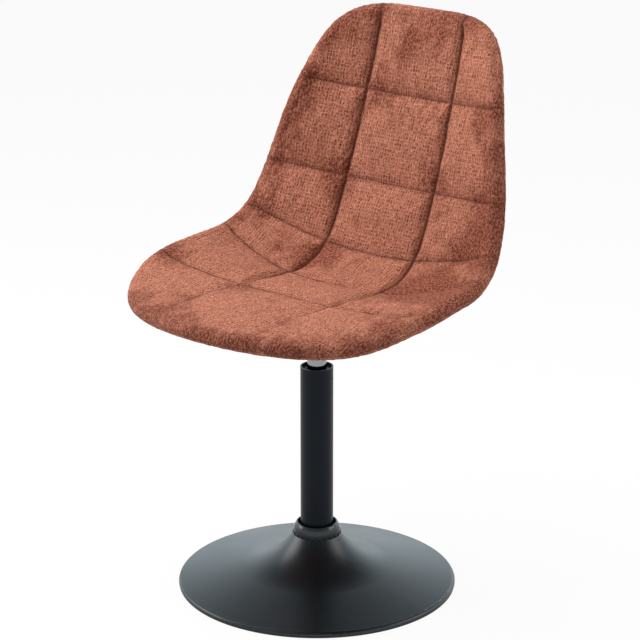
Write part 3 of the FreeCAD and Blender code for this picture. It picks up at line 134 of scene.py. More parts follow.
class NodeSheet:
    """The nodes of one material, or of the world."""

    def __init__(self, name: str, world: bool = False) -> None:
        """Start a material or a world with an empty sheet."""
        blocks = bpy.data.worlds if world else bpy.data.materials
        self.block = blocks.new(name)
        self.block.use_nodes = True
        self.tree = self.block.node_tree
        self.tree.nodes.clear()

    def node(self, kind: str, settings: dict[str, Any] | None = None,
             values: Any = (), output: int | str = 0) -> Signal:
        """Add a node.

        Args:
            kind: The node's type.
            settings: Properties of the node, set before its sockets.
            values: Numbers, colours or signals, in order or by socket name or number.
            output: The output to hand on.

        Returns:
            The output as a signal.
        """
        made = self.tree.nodes.new(kind)
        for name, value in (settings or {}).items():
            setattr(made, name, value)
        pairs = values.items() if isinstance(values, dict) else enumerate(values)
        for place, value in pairs:
            socket = made.inputs[place]
            if isinstance(value, Signal):
                self.tree.links.new(value.socket, socket)
            elif value is not None:
                socket.default_value = value
        return Signal(self, made.outputs[output] if made.outputs else None)

    def blend(self, share: Any, low: Any, high: Any) -> Signal:
        """Mix two colours: low at share 0, high at share 1."""
        shades = [(*shade, 1.0) if isinstance(shade, tuple) else shade
                  for shade in (low, high)]
        return self.node("ShaderNodeMix", {"data_type": "RGBA"},
                         {0: share, 6: shades[0], 7: shades[1]}, 2)

    def tint(self, share: Any, colour: Colour, factor: float) -> Signal:
        """A colour that is scaled by a factor where the share is 1."""
        return self.blend(share, colour, tuple(part * factor for part in colour))

    def place(self) -> Signal:
        """Position on the piece, in metres."""
        return self.node("ShaderNodeTexCoord", output="Object")

    def cloth_place(self) -> tuple[Signal, Signal]:
        """Position on the cloth, across and along, in metres."""
        spot = self.node("ShaderNodeUVMap", {"uv_map": "cloth"})
        split = self.node("ShaderNodeSeparateXYZ", None, (spot,))
        return split, Signal(self, split.socket.node.outputs[1])

    def stored(self, name: str) -> Signal:
        """A value that the mesh stores at its points."""
        return self.node("ShaderNodeAttribute", {"attribute_name": name}, (), "Fac")

    def join(self, x: Any = 0.0, y: Any = 0.0, z: Any = 0.0) -> Signal:
        """A position from its three parts."""
        return self.node("ShaderNodeCombineXYZ", None, (x, y, z))

    def chance(self, spot: Signal) -> Signal:
        """A random number from 0 to 1 that is the same at the same position."""
        return self.node("ShaderNodeTexWhiteNoise", {"noise_dimensions": "3D"}, (spot,))

    def cloud(self, spot: Signal, scale: float, detail: float = 2.0,
              rough: float = 0.5) -> Signal:
        """Soft noise from 0 to 1, with scale lumps to the metre."""
        values = {"Vector": spot, "Scale": scale, "Detail": detail, "Roughness": rough}
        return self.node("ShaderNodeTexNoise", None, values)

    def stretch(self, spot: Signal, factors: Colour) -> Signal:
        """A position with each of its parts scaled."""
        return self.node("ShaderNodeVectorMath", {"operation": "MULTIPLY"}, (spot, factors))

    def bump(self, height: Signal, depth: float, below: Signal | None = None) -> Signal:
        """A surface normal for a relief of the given depth in metres."""
        values = {"Height": height, "Distance": depth, "Strength": 1.0}
        if below is not None:
            values["Normal"] = below
        return self.node("ShaderNodeBump", None, values)

    def finish(self, values: dict[str, Any]) -> bpy.types.Material:
        """Close the sheet with a Principled shader and return its material."""
        shader = self.node("ShaderNodeBsdfPrincipled", None, values)
        self.node("ShaderNodeOutputMaterial", None, {"Surface": shader})
        return self.block


# Finishes


@dataclass(frozen=True)
class CoatedSteel:
    """Baked powder coat: a fine grain in its gloss and a little dust."""

    name: str
    colour: Colour = (0.020, 0.022, 0.026)
    roughness: float = 0.38
    shine: float = 0.5
    grain: float = 900.0
    depth: float = 0.00006
    dust: float = 0.05
    dust_colour: Colour = (0.30, 0.30, 0.31)
    patch_scale: float = 14.0
    patch_gloss: float = 0.10
    peel_gloss: float = 0.06

    def material(self) -> bpy.types.Material:
        """Build the finish."""
        sheet = NodeSheet(self.name)
        place = sheet.place()
        patches = sheet.cloud(place, self.patch_scale, 4.0, 0.6)
        peel = sheet.cloud(place, self.grain, 1.0)
        rough = self.roughness + (patches - 0.5) * self.patch_gloss
        return sheet.finish({
            "Base Color": sheet.blend(patches.ramp(0.45, 0.8) * self.dust, self.colour,
                                      self.dust_colour),
            "Roughness": rough + (peel - 0.5) * self.peel_gloss,
            "Specular IOR Level": self.shine,
            "Normal": sheet.bump(peel, self.depth)})


@dataclass(frozen=True)
class TurnedMetal:
    """Bright metal with the fine rings that turning or polishing leaves."""

    name: str
    colour: Colour
    roughness: float = 0.2
    rings: float = 2600.0
    ring_depth: float = 0.000004
    smear: float = 0.08
    smear_scale: float = 60.0
    smear_tint: float = 0.86
    ring_gloss: float = 0.06

    def material(self) -> bpy.types.Material:
        """Build the finish."""
        sheet = NodeSheet(self.name)
        place = sheet.place()
        lines = sheet.cloud(sheet.stretch(place, (0.02, 0.02, 1.0)), self.rings, 2.0)
        smears = sheet.cloud(sheet.stretch(place, (1.0, 1.0, 0.25)), self.smear_scale,
                             3.0, 0.6)
        rough = self.roughness + (lines - 0.5) * self.ring_gloss
        return sheet.finish({
            "Base Color": sheet.tint(smears, self.colour, self.smear_tint),
            "Metallic": 1.0,
            "Roughness": rough + smears.ramp(0.45, 0.8) * self.smear,
            "Normal": sheet.bump(lines, self.ring_depth)})


@dataclass(frozen=True)
class MouldedPlastic:
    """Injection-moulded plastic with a spark-eroded grain."""

    name: str
    colour: Colour
    roughness: float = 0.45
    grain: float = 1400.0
    depth: float = 0.00003
    shine: float = 0.5
    cloud_scale: float = 30.0
    cloud_tint: float = 0.88
    grain_gloss: float = 0.08

    def material(self) -> bpy.types.Material:
        """Build the finish."""
        sheet = NodeSheet(self.name)
        place = sheet.place()
        grain = sheet.node("ShaderNodeTexVoronoi", None,
                           {"Vector": place, "Scale": self.grain})
        clouds = sheet.cloud(place, self.cloud_scale, 3.0)
        return sheet.finish({
            "Base Color": sheet.tint(clouds, self.colour, self.cloud_tint),
            "Roughness": self.roughness + (grain - 0.5) * self.grain_gloss,
            "Specular IOR Level": self.shine,
            "Normal": sheet.bump(grain, self.depth)})


@dataclass(frozen=True)
class SoftRubber:
    """Matt rubber, a little bloomed."""

    name: str
    colour: Colour = (0.018, 0.018, 0.019)
    bloom_colour: Colour = (0.10, 0.10, 0.10)
    bloom_scale: float = 45.0
    bloom_share: float = 0.3
    pore_scale: float = 2200.0
    pore_depth: float = 0.00005

    def material(self) -> bpy.types.Material:
        """Build the finish."""
        sheet = NodeSheet(self.name)
        place = sheet.place()
        bloom = sheet.cloud(place, self.bloom_scale, 4.0, 0.65)
        pores = sheet.cloud(place, self.pore_scale, 1.0)
        return sheet.finish({
            "Base Color": sheet.blend(bloom.ramp(0.5, 0.9) * self.bloom_share, self.colour,
                                      self.bloom_colour),
            "Roughness": 0.72 + bloom * 0.12,
            "Normal": sheet.bump(pores, self.pore_depth)})


@dataclass(frozen=True)
class Chenille:
    """Slubby chenille: soft yarns with short dark gaps between them, and a nap.

    A spot of pile brushed the other way and of painted light is its place across and along
    the cloth, its reach and its weight; the darker spots on the +X wing paint the shade
    there, and the lighter spots towards the -X rim paint light. A fold's painted shade is how
    far off the seam it starts, where it is full, and how dark it is.
    The weights are those of weave, slubs and flecks, and the relief is that of yarns,
    fluff, gaps and needle holes.
    """

    name: str
    light: Colour = (0.77, 0.312, 0.200)
    middle: Colour = (0.235, 0.054, 0.028)
    # Colour of the dark gaps between the yarns, and also of the painted shade in the seam
    # creases and the needle holes.
    dark: Colour = (0.105, 0.024, 0.012)
    # Dark pile where the pile is brushed the other way. It is also the colour of the painted
    # shade by the rim, beside the seams and in the +X wing's spots.
    brushed_and_shaded_pile: Colour = (0.115, 0.017, 0.007)
    tips: Colour = (0.46, 0.150, 0.088)
    ochre: Colour = (0.36, 0.165, 0.070)
    sheen: tuple[float, ...] = (0.95, 0.52, 0.36, 1.0)
    sheen_weight: float = 0.14
    pitch_across: float = 0.0047
    pitch_along: float = 0.0056
    fine_across: float = 0.52
    fine_along: float = 0.62
    fine_weight: float = 0.60
    drift_scale: float = 34.0
    drift_rows: float = 1.1
    start_spread: float = 0.30
    shortest_half: float = 0.13
    half_spread: float = 0.26
    side_spread: float = 0.24
    wander: float = 0.0032
    slip: float = 0.0030
    yarn: float = 0.0019
    weft_share: float = 0.45
    slub_scale: float = 330.0
    fleck_scale: float = 340.0
    fluff_scale: float = 1500.0
    weights: tuple[float, float, float] = (0.46, 0.33, 0.21)
    ochre_share: float = 0.35
    # How dark the painted shade in the needle holes is.
    hole_painted_shade: float = 0.80
    depth: float = 0.0011
    relief: tuple[float, ...] = (0.55, 0.25, -0.75, -0.6)
    nap_scale: float = 11.0
    nap_and_light_ramp: tuple[float, float] = (0.49, 0.68)
    nap_and_light_most: float = 0.92
    # Painted shade added to the pile's patches: darker towards the rim and beside the seams.
    rim_nap_and_shade: float = 0.12
    seam_nap_and_shade: float = 0.035
    seam_nap_and_shade_reach: float = 0.030
    stitch_pitch: float = 0.0046
    # Painted shade in the creases of the cross and long seams; the long seams' painted shade
    # weakens towards the front, down to long_least.
    cross_painted_shade: tuple[tuple[float, ...], ...] = (
        (0.0030, 0.0002, 0.42), (0.009, 0.001, 0.20))
    long_painted_shade: tuple[tuple[float, ...], ...] = (
        (0.0056, 0.0006, 0.84), (0.013, 0.001, 0.28))
    long_fade: tuple[float, float] = (0.15, 0.36)
    long_least: float = 0.22
    # Spots of pile brushed the other way, partly painted light: the darker spots on the +X
    # wing paint its shade, and the lighter spots towards the -X rim paint light.
    nap_and_painted_light_spots: tuple[tuple[float, ...], ...] = (
        (0.150, 0.300, 0.100, 0.34), (0.205, 0.270, 0.090, 0.34),
        (0.205, 0.430, 0.090, 0.24), (0.150, 0.600, 0.040, 0.20),
        (-0.075, 0.345, 0.060, 0.24), (-0.095, 0.480, 0.045, 0.20),
        (-0.020, 0.690, 0.040, 0.20), (-0.060, 0.150, 0.050, 0.16),
        (-0.235, 0.110, 0.090, -0.20), (-0.205, 0.280, 0.090, -0.30),
        (-0.140, 0.200, 0.080, -0.16), (0.000, 0.230, 0.070, -0.20),
        (0.000, 0.500, 0.080, -0.12))

    def gaps(self, sheet: NodeSheet, across: Signal, along: Signal,
             pitch: float, length: float, seed: float) -> Signal:
        """Short dark gaps in columns, each with its own length and place.

        Args:
            sheet: The material's nodes.
            across: Position across the cloth.
            along: Position along the cloth.
            pitch: Spacing of the columns.
            length: Spacing of the gaps in a column.
            seed: Makes two sets of gaps differ.

        Returns:
            1 in a gap and 0 on the yarns.
        """
        column = across / pitch
        number = column.floor()
        drift = sheet.cloud(sheet.join(across, along, seed), self.drift_scale, 1.0)
        start = sheet.chance(sheet.join(number, seed, 1.0)) * self.start_spread
        row = along / length + start + drift * self.drift_rows
        picked = sheet.chance(sheet.join(number, row.floor(), seed))
        half = self.shortest_half + picked * self.half_spread
        side = sheet.chance(sheet.join(row.floor(), number, seed + 3.0)) - 0.5
        wide = abs(column.fraction() - 0.5 + side * self.side_spread).ramp(0.30, 0.13)
        tall = abs(row.fraction() - 0.5)
        inside = (tall - half).ramp(0.08, -0.08)
        return wide * inside * picked.ramp(0.06, 0.26)

    def all_gaps(self, sheet: NodeSheet, flat: Signal, u: Signal, v: Signal) -> Signal:
        """The coarse gaps, which are fainter in places, and the fine ones between them."""
        coarse = self.gaps(sheet, u, v, self.pitch_across, self.pitch_along, 2.0)
        fine = self.gaps(sheet, u, v, self.pitch_across * self.fine_across,
                         self.pitch_along * self.fine_along, 7.0)
        missing = sheet.cloud(flat, 70.0, 2.0).ramp(0.36, 0.62)
        return (coarse * (0.50 + 0.50 * missing)).most(fine * self.fine_weight)

    def yarns(self, sheet: NodeSheet, spot: Signal, direction: str) -> Signal:
        """Soft bands of yarn, side by side in one direction."""
        return sheet.node("ShaderNodeTexWave",
                          {"wave_type": "BANDS", "bands_direction": direction},
                          {"Vector": spot, "Scale": 0.314 / self.yarn,
                           "Distortion": 2.5, "Detail": 2.0, "Detail Scale": 30.0})

    @staticmethod
    def total(parts: Iterable[Signal], weights: Iterable[float]) -> Signal:
        """The sum of some signals, each times its weight."""
        first, *others = (part * weight for part, weight in zip(parts, weights))
        return sum(others, first)

    @staticmethod
    def fold(distance: Signal, shades: Iterable[tuple[float, ...]]) -> Signal:
        """Painted shade in a seam's fold, dark at its line and faint further off."""
        near, far = (abs(distance).ramp(outer, inner) * darkness
                     for outer, inner, darkness in shades)
        return near.most(far)

    def nap_and_painted_light(self, sheet: NodeSheet, flat: Signal, cross: Signal, long: Signal) -> Signal:
        """Patches where the pile is brushed the other way, with painted shade and light:
        darker towards the rim and beside the seams, and listed spots that darken some places
        and lighten others.
        """
        clouds = sheet.cloud(flat, self.nap_scale, 3.0, 0.62)
        streaks = sheet.cloud(sheet.stretch(flat, (1.0, 0.35, 1.0)), 60.0, 3.0, 0.6)
        edge = sheet.stored("rim")
        seams = abs(cross).ramp(self.seam_nap_and_shade_reach, 0.0).most(
            abs(long).ramp(self.seam_nap_and_shade_reach, 0.0))
        amount = clouds * 0.62 + streaks * 0.38 + edge * self.rim_nap_and_shade + seams * self.seam_nap_and_shade
        for across, along, reach, weight in self.nap_and_painted_light_spots:
            away = sheet.node("ShaderNodeVectorMath", {"operation": "DISTANCE"},
                              (flat, (across, along, 0.0)), "Value")
            amount = amount + away.ramp(reach, 0.0) * weight
        return amount.ramp(*self.nap_and_light_ramp) * self.nap_and_light_most

    def needle_holes(self, across: Signal, cross: Signal) -> Signal:
        """Small holes between the stitches of a cross seam, darkened with painted shade."""
        stitch = abs((across / self.stitch_pitch).fraction() - 0.5).ramp(0.30, 0.16)
        return stitch * abs(cross).ramp(0.0019, 0.0007)

    def material(self) -> bpy.types.Material:
        """Build the finish."""
        sheet = NodeSheet(self.name)
        across, along = sheet.cloth_place()
        flat = sheet.join(across, along)
        u = across + (sheet.cloud(flat, 55.0, 2.0) - 0.5) * self.wander
        slip = sheet.cloud(sheet.join(along, across, 4.0), 48.0, 2.0) - 0.5
        v = along + slip * self.slip
        gaps = self.all_gaps(sheet, flat, u, v)
        spot = sheet.join(u, v)
        weft = self.yarns(sheet, spot, "Y") * self.weft_share
        weave = weft + self.yarns(sheet, spot, "X") * (1 - self.weft_share)
        slub = sheet.cloud(sheet.stretch(flat, (1.0, 0.22, 1.0)), self.slub_scale, 3.0, 0.70)
        fluff = sheet.cloud(flat, self.fluff_scale, 3.0, 0.7)
        flecks = sheet.cloud(sheet.stretch(flat, (1.0, 0.55, 1.0)), self.fleck_scale,
                             4.0, 0.78).ramp(0.36, 0.64)
        yarns = self.total((weave, slub, flecks), self.weights)
        cross = sheet.stored("cross_seam")
        long = sheet.stored("long_seam")
        # Patches of pile brushed the other way, with painted shade and painted light mixed
        # in.
        nap_and_painted_light = self.nap_and_painted_light(sheet, flat, cross, long)
        ochre = sheet.cloud(sheet.stretch(flat, (1.0, 0.3, 1.0)), 120.0, 3.0, 0.65)
        ground = sheet.blend(yarns.ramp(0.30, 0.62), self.middle, self.light)
        ground = sheet.blend(ochre.ramp(0.48, 0.74) * self.ochre_share, ground, self.ochre)
        pile = sheet.blend((yarns * 0.25 + flecks * 0.75).ramp(0.28, 0.78), self.brushed_and_shaded_pile,
                           self.tips)
        woven = sheet.blend(gaps * (0.92 - 0.30 * nap_and_painted_light), sheet.blend(nap_and_painted_light, ground, pile),
                            self.dark)
        holes = self.needle_holes(across, cross)
        # Painted shade: the seam creases and the needle holes darken the cloth towards the
        # dark colour.
        fade = self.long_least + (1 - self.long_least) * along.ramp(*self.long_fade)
        painted_seam_shade = self.fold(cross, self.cross_painted_shade).most(
            self.fold(long, self.long_painted_shade) * fade)
        height = self.total((yarns, fluff, gaps, holes), self.relief)
        return sheet.finish({
            "Base Color": sheet.blend(painted_seam_shade.most(holes * self.hole_painted_shade), woven,
                                      self.dark),
            "Roughness": 0.92 - 0.08 * fluff,
            "Specular IOR Level": 0.2,
            "Sheen Weight": self.sheen_weight,
            "Sheen Roughness": 0.45,
            "Sheen Tint": self.sheen,
            "Normal": sheet.bump(height, self.depth)})


@dataclass(frozen=True)
class SewingThread:
    """Twisted thread of the seams."""

    name: str
    colour: Colour = (0.19, 0.055, 0.032)
    twist_scale: float = 700.0
    depth: float = 0.0001

    def material(self) -> bpy.types.Material:
        """Build the finish."""
        sheet = NodeSheet(self.name)
        place = sheet.place()
        twist = sheet.node("ShaderNodeTexWave", {"wave_type": "BANDS",
                                                 "bands_direction": "DIAGONAL"},
                           {"Vector": place, "Scale": self.twist_scale,
                            "Distortion": 1.0})
        return sheet.finish({
            "Base Color": sheet.tint(twist, self.colour, 1.5),
            "Roughness": 0.8,
            "Normal": sheet.bump(twist, self.depth)})


# The bucket's form


def eased(place: np.ndarray, stations: Sequence[float],
          values: Sequence[float]) -> np.ndarray:
    """A smooth curve through values at stations, with no overshoot between them.

    Args:
        place: Where to read the curve.
        stations: Places of the values, rising.
        values: The curve at the stations.

    Returns:
        The curve at each place.
    """
    marks = np.asarray(stations)
    levels = np.asarray(values)
    gaps = np.diff(marks)
    rises = np.diff(levels) / gaps
    slopes = np.concatenate([rises[:1], np.zeros(len(rises) - 1), rises[-1:]])
    for index in range(1, len(rises)):
        before, after = rises[index - 1], rises[index]
        if before * after > 0:
            slopes[index] = 2 * before * after / (before + after)
    index = np.clip(np.searchsorted(marks, place) - 1, 0, len(gaps) - 1)
    gap = gaps[index]
    part = np.clip((place - marks[index]) / gap, 0, 1)
    return ((2 * part ** 3 - 3 * part ** 2 + 1) * levels[index]
            + (part ** 3 - 2 * part ** 2 + part) * gap * slopes[index]
            + (3 * part ** 2 - 2 * part ** 3) * levels[index + 1]
            + (part ** 3 - part ** 2) * gap * slopes[index + 1])


def rounded_end(distance: np.ndarray, length: float, roundness: float) -> np.ndarray:
    """How much of the full width an outline has at a distance from its tip."""
    left = 1 - np.clip(distance / length, 0, 1)
    return (1 - left ** roundness) ** (1 / roundness)


@dataclass(frozen=True)
class BucketForm:
    """The middle surface of the seat and back, from the front edge to the top."""

    front: float = 0.2465
    front_height: float = 0.4475
    seat_length: float = 0.2775
    seat_fall: float = 4.0
    front_roll: float = 9.0
    front_roll_length: float = 0.180
    bend_radius: float = 0.1235
    bend_ease: float = 0.35
    back_length: float = 0.313
    back_recline: float = 24.4
    back_curl: float = 9.9
    width_stations: tuple[float, ...] = (0.0, 0.22, 0.45, 0.62, 0.80, 1.0)
    half_widths: tuple[float, ...] = (0.2555, 0.245, 0.2305, 0.212, 0.182, 0.1325)
    wing_stations: tuple[float, ...] = (0.0, 0.10, 0.22, 0.45, 0.62, 0.80, 1.0)
    wings: tuple[float, ...] = (-0.030, -0.010, 0.017, 0.039, 0.0275, 0.0385, 0.0245)
    wing_power: float = 2.5
    front_round: float = 0.228
    front_roundness: float = 2.11
    top_round: float = 0.105
    top_roundness: float = 4.2
    rim: float = 0.013
    seam: float = 0.0855
    seam_top: float = 0.077
    cross_seams: tuple[float, ...] = (0.24, 0.38, 0.51, 0.66, 0.84)
    cross_bows: tuple[float, ...] = (0.0, 0.055, 0.045, 0.0, 0.0)
    bow_reach: float = 0.235
    step: float = 0.0005
    outline_points: int = 6001

    @property
    def turn(self) -> float:
        """Angle between the seat and the lower back."""
        return math.radians(90 - self.back_recline + self.seat_fall)

    @property
    def length(self) -> float:
        """Length of the profile."""
        return self.seat_length + self.bend_radius * self.turn + self.back_length

    def heading(self, distance: np.ndarray) -> np.ndarray:
        """Direction of the profile, from +Y towards +Z."""
        bend_length = self.bend_radius * self.turn
        roll = np.clip(1 - distance / self.front_roll_length, 0, 1)
        bend = np.clip((distance - self.seat_length) / bend_length, 0, 1)
        back = np.clip((distance - self.seat_length - bend_length) / self.back_length, 0, 1)
        swing = self.bend_ease * bend * bend * (3 - 2 * bend) + (1 - self.bend_ease) * bend
        return (-math.radians(self.seat_fall) + math.radians(self.front_roll) * roll
                + self.turn * swing + math.radians(self.back_curl) * back)

    @cached_property
    def trace(self) -> tuple[np.ndarray, np.ndarray, np.ndarray]:
        """Marks along the profile, with its Y and Z at each."""
        marks = np.arange(int(self.length / self.step) + 2) * self.step
        angle = self.heading(marks[:-1] + self.step / 2)
        y = -self.front + np.concatenate([[0], np.cumsum(np.cos(angle))]) * self.step
        z = self.front_height + np.concatenate([[0], np.cumsum(np.sin(angle))]) * self.step
        return marks, y, z

    def half_width(self, distance: np.ndarray) -> np.ndarray:
        """Half width of the middle surface's outline."""
        full = eased(distance / self.length, self.width_stations, self.half_widths)
        front = rounded_end(distance, self.front_round, self.front_roundness)
        top = rounded_end(self.length - distance, self.top_round, self.top_roundness)
        return full * front * top

    def seam_place(self, distance: np.ndarray) -> np.ndarray:
        """Distance of the long seams from the middle."""
        return self.seam + (self.seam_top - self.seam) * (distance / self.length) ** 2

    def cross_place(self, number: int, x: np.ndarray) -> np.ndarray:
        """Place along the profile of a cross seam."""
        bow = self.cross_bows[number] * (np.abs(x) / self.bow_reach) ** 2
        return (self.cross_seams[number] + bow) * self.length

    def cross_line(self, number: int, x: np.ndarray) -> np.ndarray:
        """Points of a cross seam, as place across and along."""
        return np.stack([x, self.cross_place(number, x)], axis=-1)

    def points(self, x: np.ndarray, distance: np.ndarray, outward: Any) -> np.ndarray:
        """Positions in the chair's frame.

        Args:
            x: Place across the seat.
            distance: Place along the profile.
            outward: Height over the middle surface, towards the sitter.

        Returns:
            An array with X, Y and Z last.
        """
        marks, ys, zs = self.trace
        inside = np.clip(distance, 0, self.length)
        angle = self.heading(inside)
        beyond = distance - inside
        y = np.interp(inside, marks, ys) + beyond * np.cos(angle)
        z = np.interp(inside, marks, zs) + beyond * np.sin(angle)
        share = inside / self.length
        width = eased(share, self.width_stations, self.half_widths)
        wing = eased(share, self.wing_stations, self.wings)
        side = np.abs(x) / width
        slope = self.wing_power * wing / width * side ** (self.wing_power - 1) * np.sign(x)
        scale = outward / np.hypot(1, slope)
        lift = wing * side ** self.wing_power + scale
        return np.stack([x - slope * scale, y - lift * np.sin(angle),
                         z + lift * np.cos(angle)], axis=-1)

    @cached_property
    def outline(self) -> np.ndarray:
        """The right half of the outline, from the front tip to the top tip."""
        turn = np.linspace(0, math.pi, self.outline_points)
        distance = self.length * (1 - np.cos(turn)) / 2
        return np.stack([self.half_width(distance), distance], axis=-1)


def crowded(cells: int, crowding: float) -> np.ndarray:
    """Shares from 0 to 1 in even cells that get narrower towards both ends."""
    even = np.linspace(0, 1, cells + 1)
    return even - crowding * np.sin(2 * math.pi * even) / (2 * math.pi)


def spaced(line: np.ndarray, shares: np.ndarray) -> np.ndarray:
    """Points at the given shares of a line's length."""
    steps = np.linalg.norm(np.diff(line, axis=0), axis=1)
    run = np.concatenate([[0], np.cumsum(steps)])
    wanted = shares * run[-1]
    return np.stack([np.interp(wanted, run, line[:, part]) for part in (0, 1)], axis=-1)


def patch(bottom: np.ndarray, top: np.ndarray, left: np.ndarray, right: np.ndarray,
          across: np.ndarray, up: np.ndarray) -> np.ndarray:
    """A grid between four border lines.

    Args:
        bottom: Border at the front, as a line of points.
        top: Border at the back.
        left: Border at the left, from front to back.
        right: Border at the right.
        across: Shares of the grid's columns.
        up: Shares of the grid's rows.

    Returns:
        Points by row and column.
    """
    low, high = spaced(bottom, across), spaced(top, across)
    near, far = spaced(left, up), spaced(right, up)
    u = across[None, :, None]
    v = up[:, None, None]
    corners = ((1 - u) * (1 - v) * low[0] + u * (1 - v) * low[-1]
               + (1 - u) * v * high[0] + u * v * high[-1])
    return ((1 - v) * low[None] + v * high[None] + (1 - u) * near[:, None]
            + u * far[:, None] - corners)


@dataclass(frozen=True)
class SeamGrid:
    """A grid over the bucket whose lines follow the seams and the outline."""

    form: BucketForm
    middle_cells: int = 30
    side_cells: int = 30
    panel_cells: tuple[int, ...] = (34, 22, 20, 24, 28, 24)
    crowding: float = 0.62
    seam_points: int = 400
    border_points: int = 300

    def finer(self, times: int) -> "SeamGrid":
        """The same grid with more cells."""
        return SeamGrid(self.form, self.middle_cells * times, self.side_cells * times,
                        tuple(cells * times for cells in self.panel_cells), self.crowding)

    @staticmethod
    def crossing(gap: np.ndarray, from_top: bool = False) -> int:
        """Where along the outline a gap changes its sign first."""
        change = np.nonzero(np.diff(np.sign(gap)) != 0)[0]
        return int(change[-1] if from_top else change[0])

    def seam_crossing(self, number: int) -> float:
        """Place along the profile where a cross seam meets the long seams."""
        place = np.array(self.form.cross_seams[number] * self.form.length)
        for _ in range(8):
            place = self.form.cross_place(number, self.form.seam_place(place))
        return float(place)

    @cached_property
    def flat(self) -> np.ndarray:
        """The grid's points, as place across and along, by row and column."""
        form = self.form
        outline = form.outline
        steps = np.abs(np.diff(outline, axis=0))
        past_seam = outline[:, 0] - form.seam_place(outline[:, 1])
        seam_front = self.crossing(past_seam)
        seam_top = self.crossing(past_seam, True)
        steep = steps[:, 1] - steps[:, 0]
        middle = len(steep) // 2
        corner_front = self.crossing(steep[:middle])
        corner_top = middle + self.crossing(steep[middle:], True)
        ends = [corner_front]
        ends += [self.crossing(outline[:, 1] - form.cross_place(number, outline[:, 0]))
                 for number in range(len(form.cross_seams))]
        ends.append(corner_top)
        crossings = [outline[seam_front, 1]]
        crossings += [self.seam_crossing(number) for number in range(len(form.cross_seams))]
        crossings.append(outline[seam_top, 1])
        share_middle = crowded(self.middle_cells, self.crowding)
        share_side = crowded(self.side_cells, self.crowding)
        rows = []
        for number, cells in enumerate(self.panel_cells):
            share_up = crowded(cells, self.crowding)
            run = np.linspace(crossings[number], crossings[number + 1], self.seam_points)
            seam = np.stack([form.seam_place(run), run], axis=-1)
            side_low = self.border(number - 1, outline[seam_front:corner_front + 1], ends)
            side_high = self.border(number, outline[corner_top:seam_top + 1][::-1], ends)
            edge = outline[ends[number]:ends[number + 1] + 1]
            right = patch(side_low, side_high, seam, edge, share_side, share_up)
            middle_low = self.middle_border(number - 1, outline[:seam_front + 1])
            middle_high = self.middle_border(number, outline[seam_top:][::-1])
            mirrored = seam * (-1, 1)
            centre = patch(middle_low, middle_high, mirrored, seam, share_middle, share_up)
            left = right[:, ::-1] * (-1, 1)
            panel = np.concatenate([left[:, :-1], centre, right[:, 1:]], axis=1)
            rows.append(panel if number == 0 else panel[1:])
        return np.concatenate(rows, axis=0)

    def border(self, number: int, rounded: np.ndarray, ends: list[int]) -> np.ndarray:
        """A side panel's border: a cross seam, or the rounded outline at either tip."""
        if not 0 <= number < len(self.form.cross_seams):
            return rounded
        start = self.form.seam_place(np.array(self.seam_crossing(number)))
        x = np.linspace(start, self.form.outline[ends[number + 1], 0], self.border_points)
        return self.form.cross_line(number, x)

    def middle_border(self, number: int, rounded: np.ndarray) -> np.ndarray:
        """A middle panel's border: a cross seam, or the outline across either tip."""
        if not 0 <= number < len(self.form.cross_seams):
            return np.concatenate([rounded[::-1] * (-1, 1), rounded[1:]])
        reach = float(self.form.seam_place(np.array(self.seam_crossing(number))))
        return self.form.cross_line(number, np.linspace(-reach, reach, self.border_points))

    @staticmethod
    def loop(grid: np.ndarray) -> np.ndarray:
        """The grid's border, once round, anticlockwise from the front left."""
        return np.concatenate([grid[0, :-1], grid[:-1, -1], grid[-1, :0:-1], grid[:0:-1, 0]])

    @staticmethod
    def quads(numbers: np.ndarray) -> np.ndarray:
        """The faces between the rows and columns of numbered points."""
        return np.stack([numbers[:-1, :-1], numbers[:-1, 1:], numbers[1:, 1:],
                         numbers[1:, :-1]], axis=-1).reshape(-1, 4)


# Upholstery


def new_piece(name: str, spots: np.ndarray, faces: np.ndarray) -> bpy.types.Object:
    """Make an object from points and faces, and put it into the scene."""
    data = bpy.data.meshes.new(name)
    data.from_pydata(spots.tolist(), [], faces.tolist())
    piece = bpy.data.objects.new(name, data)
    bpy.context.scene.collection.objects.link(piece)
    return piece


class Side(Enum):
    """Which side of the bucket a cover lies on."""

    FRONT = 1
    BACK = -1


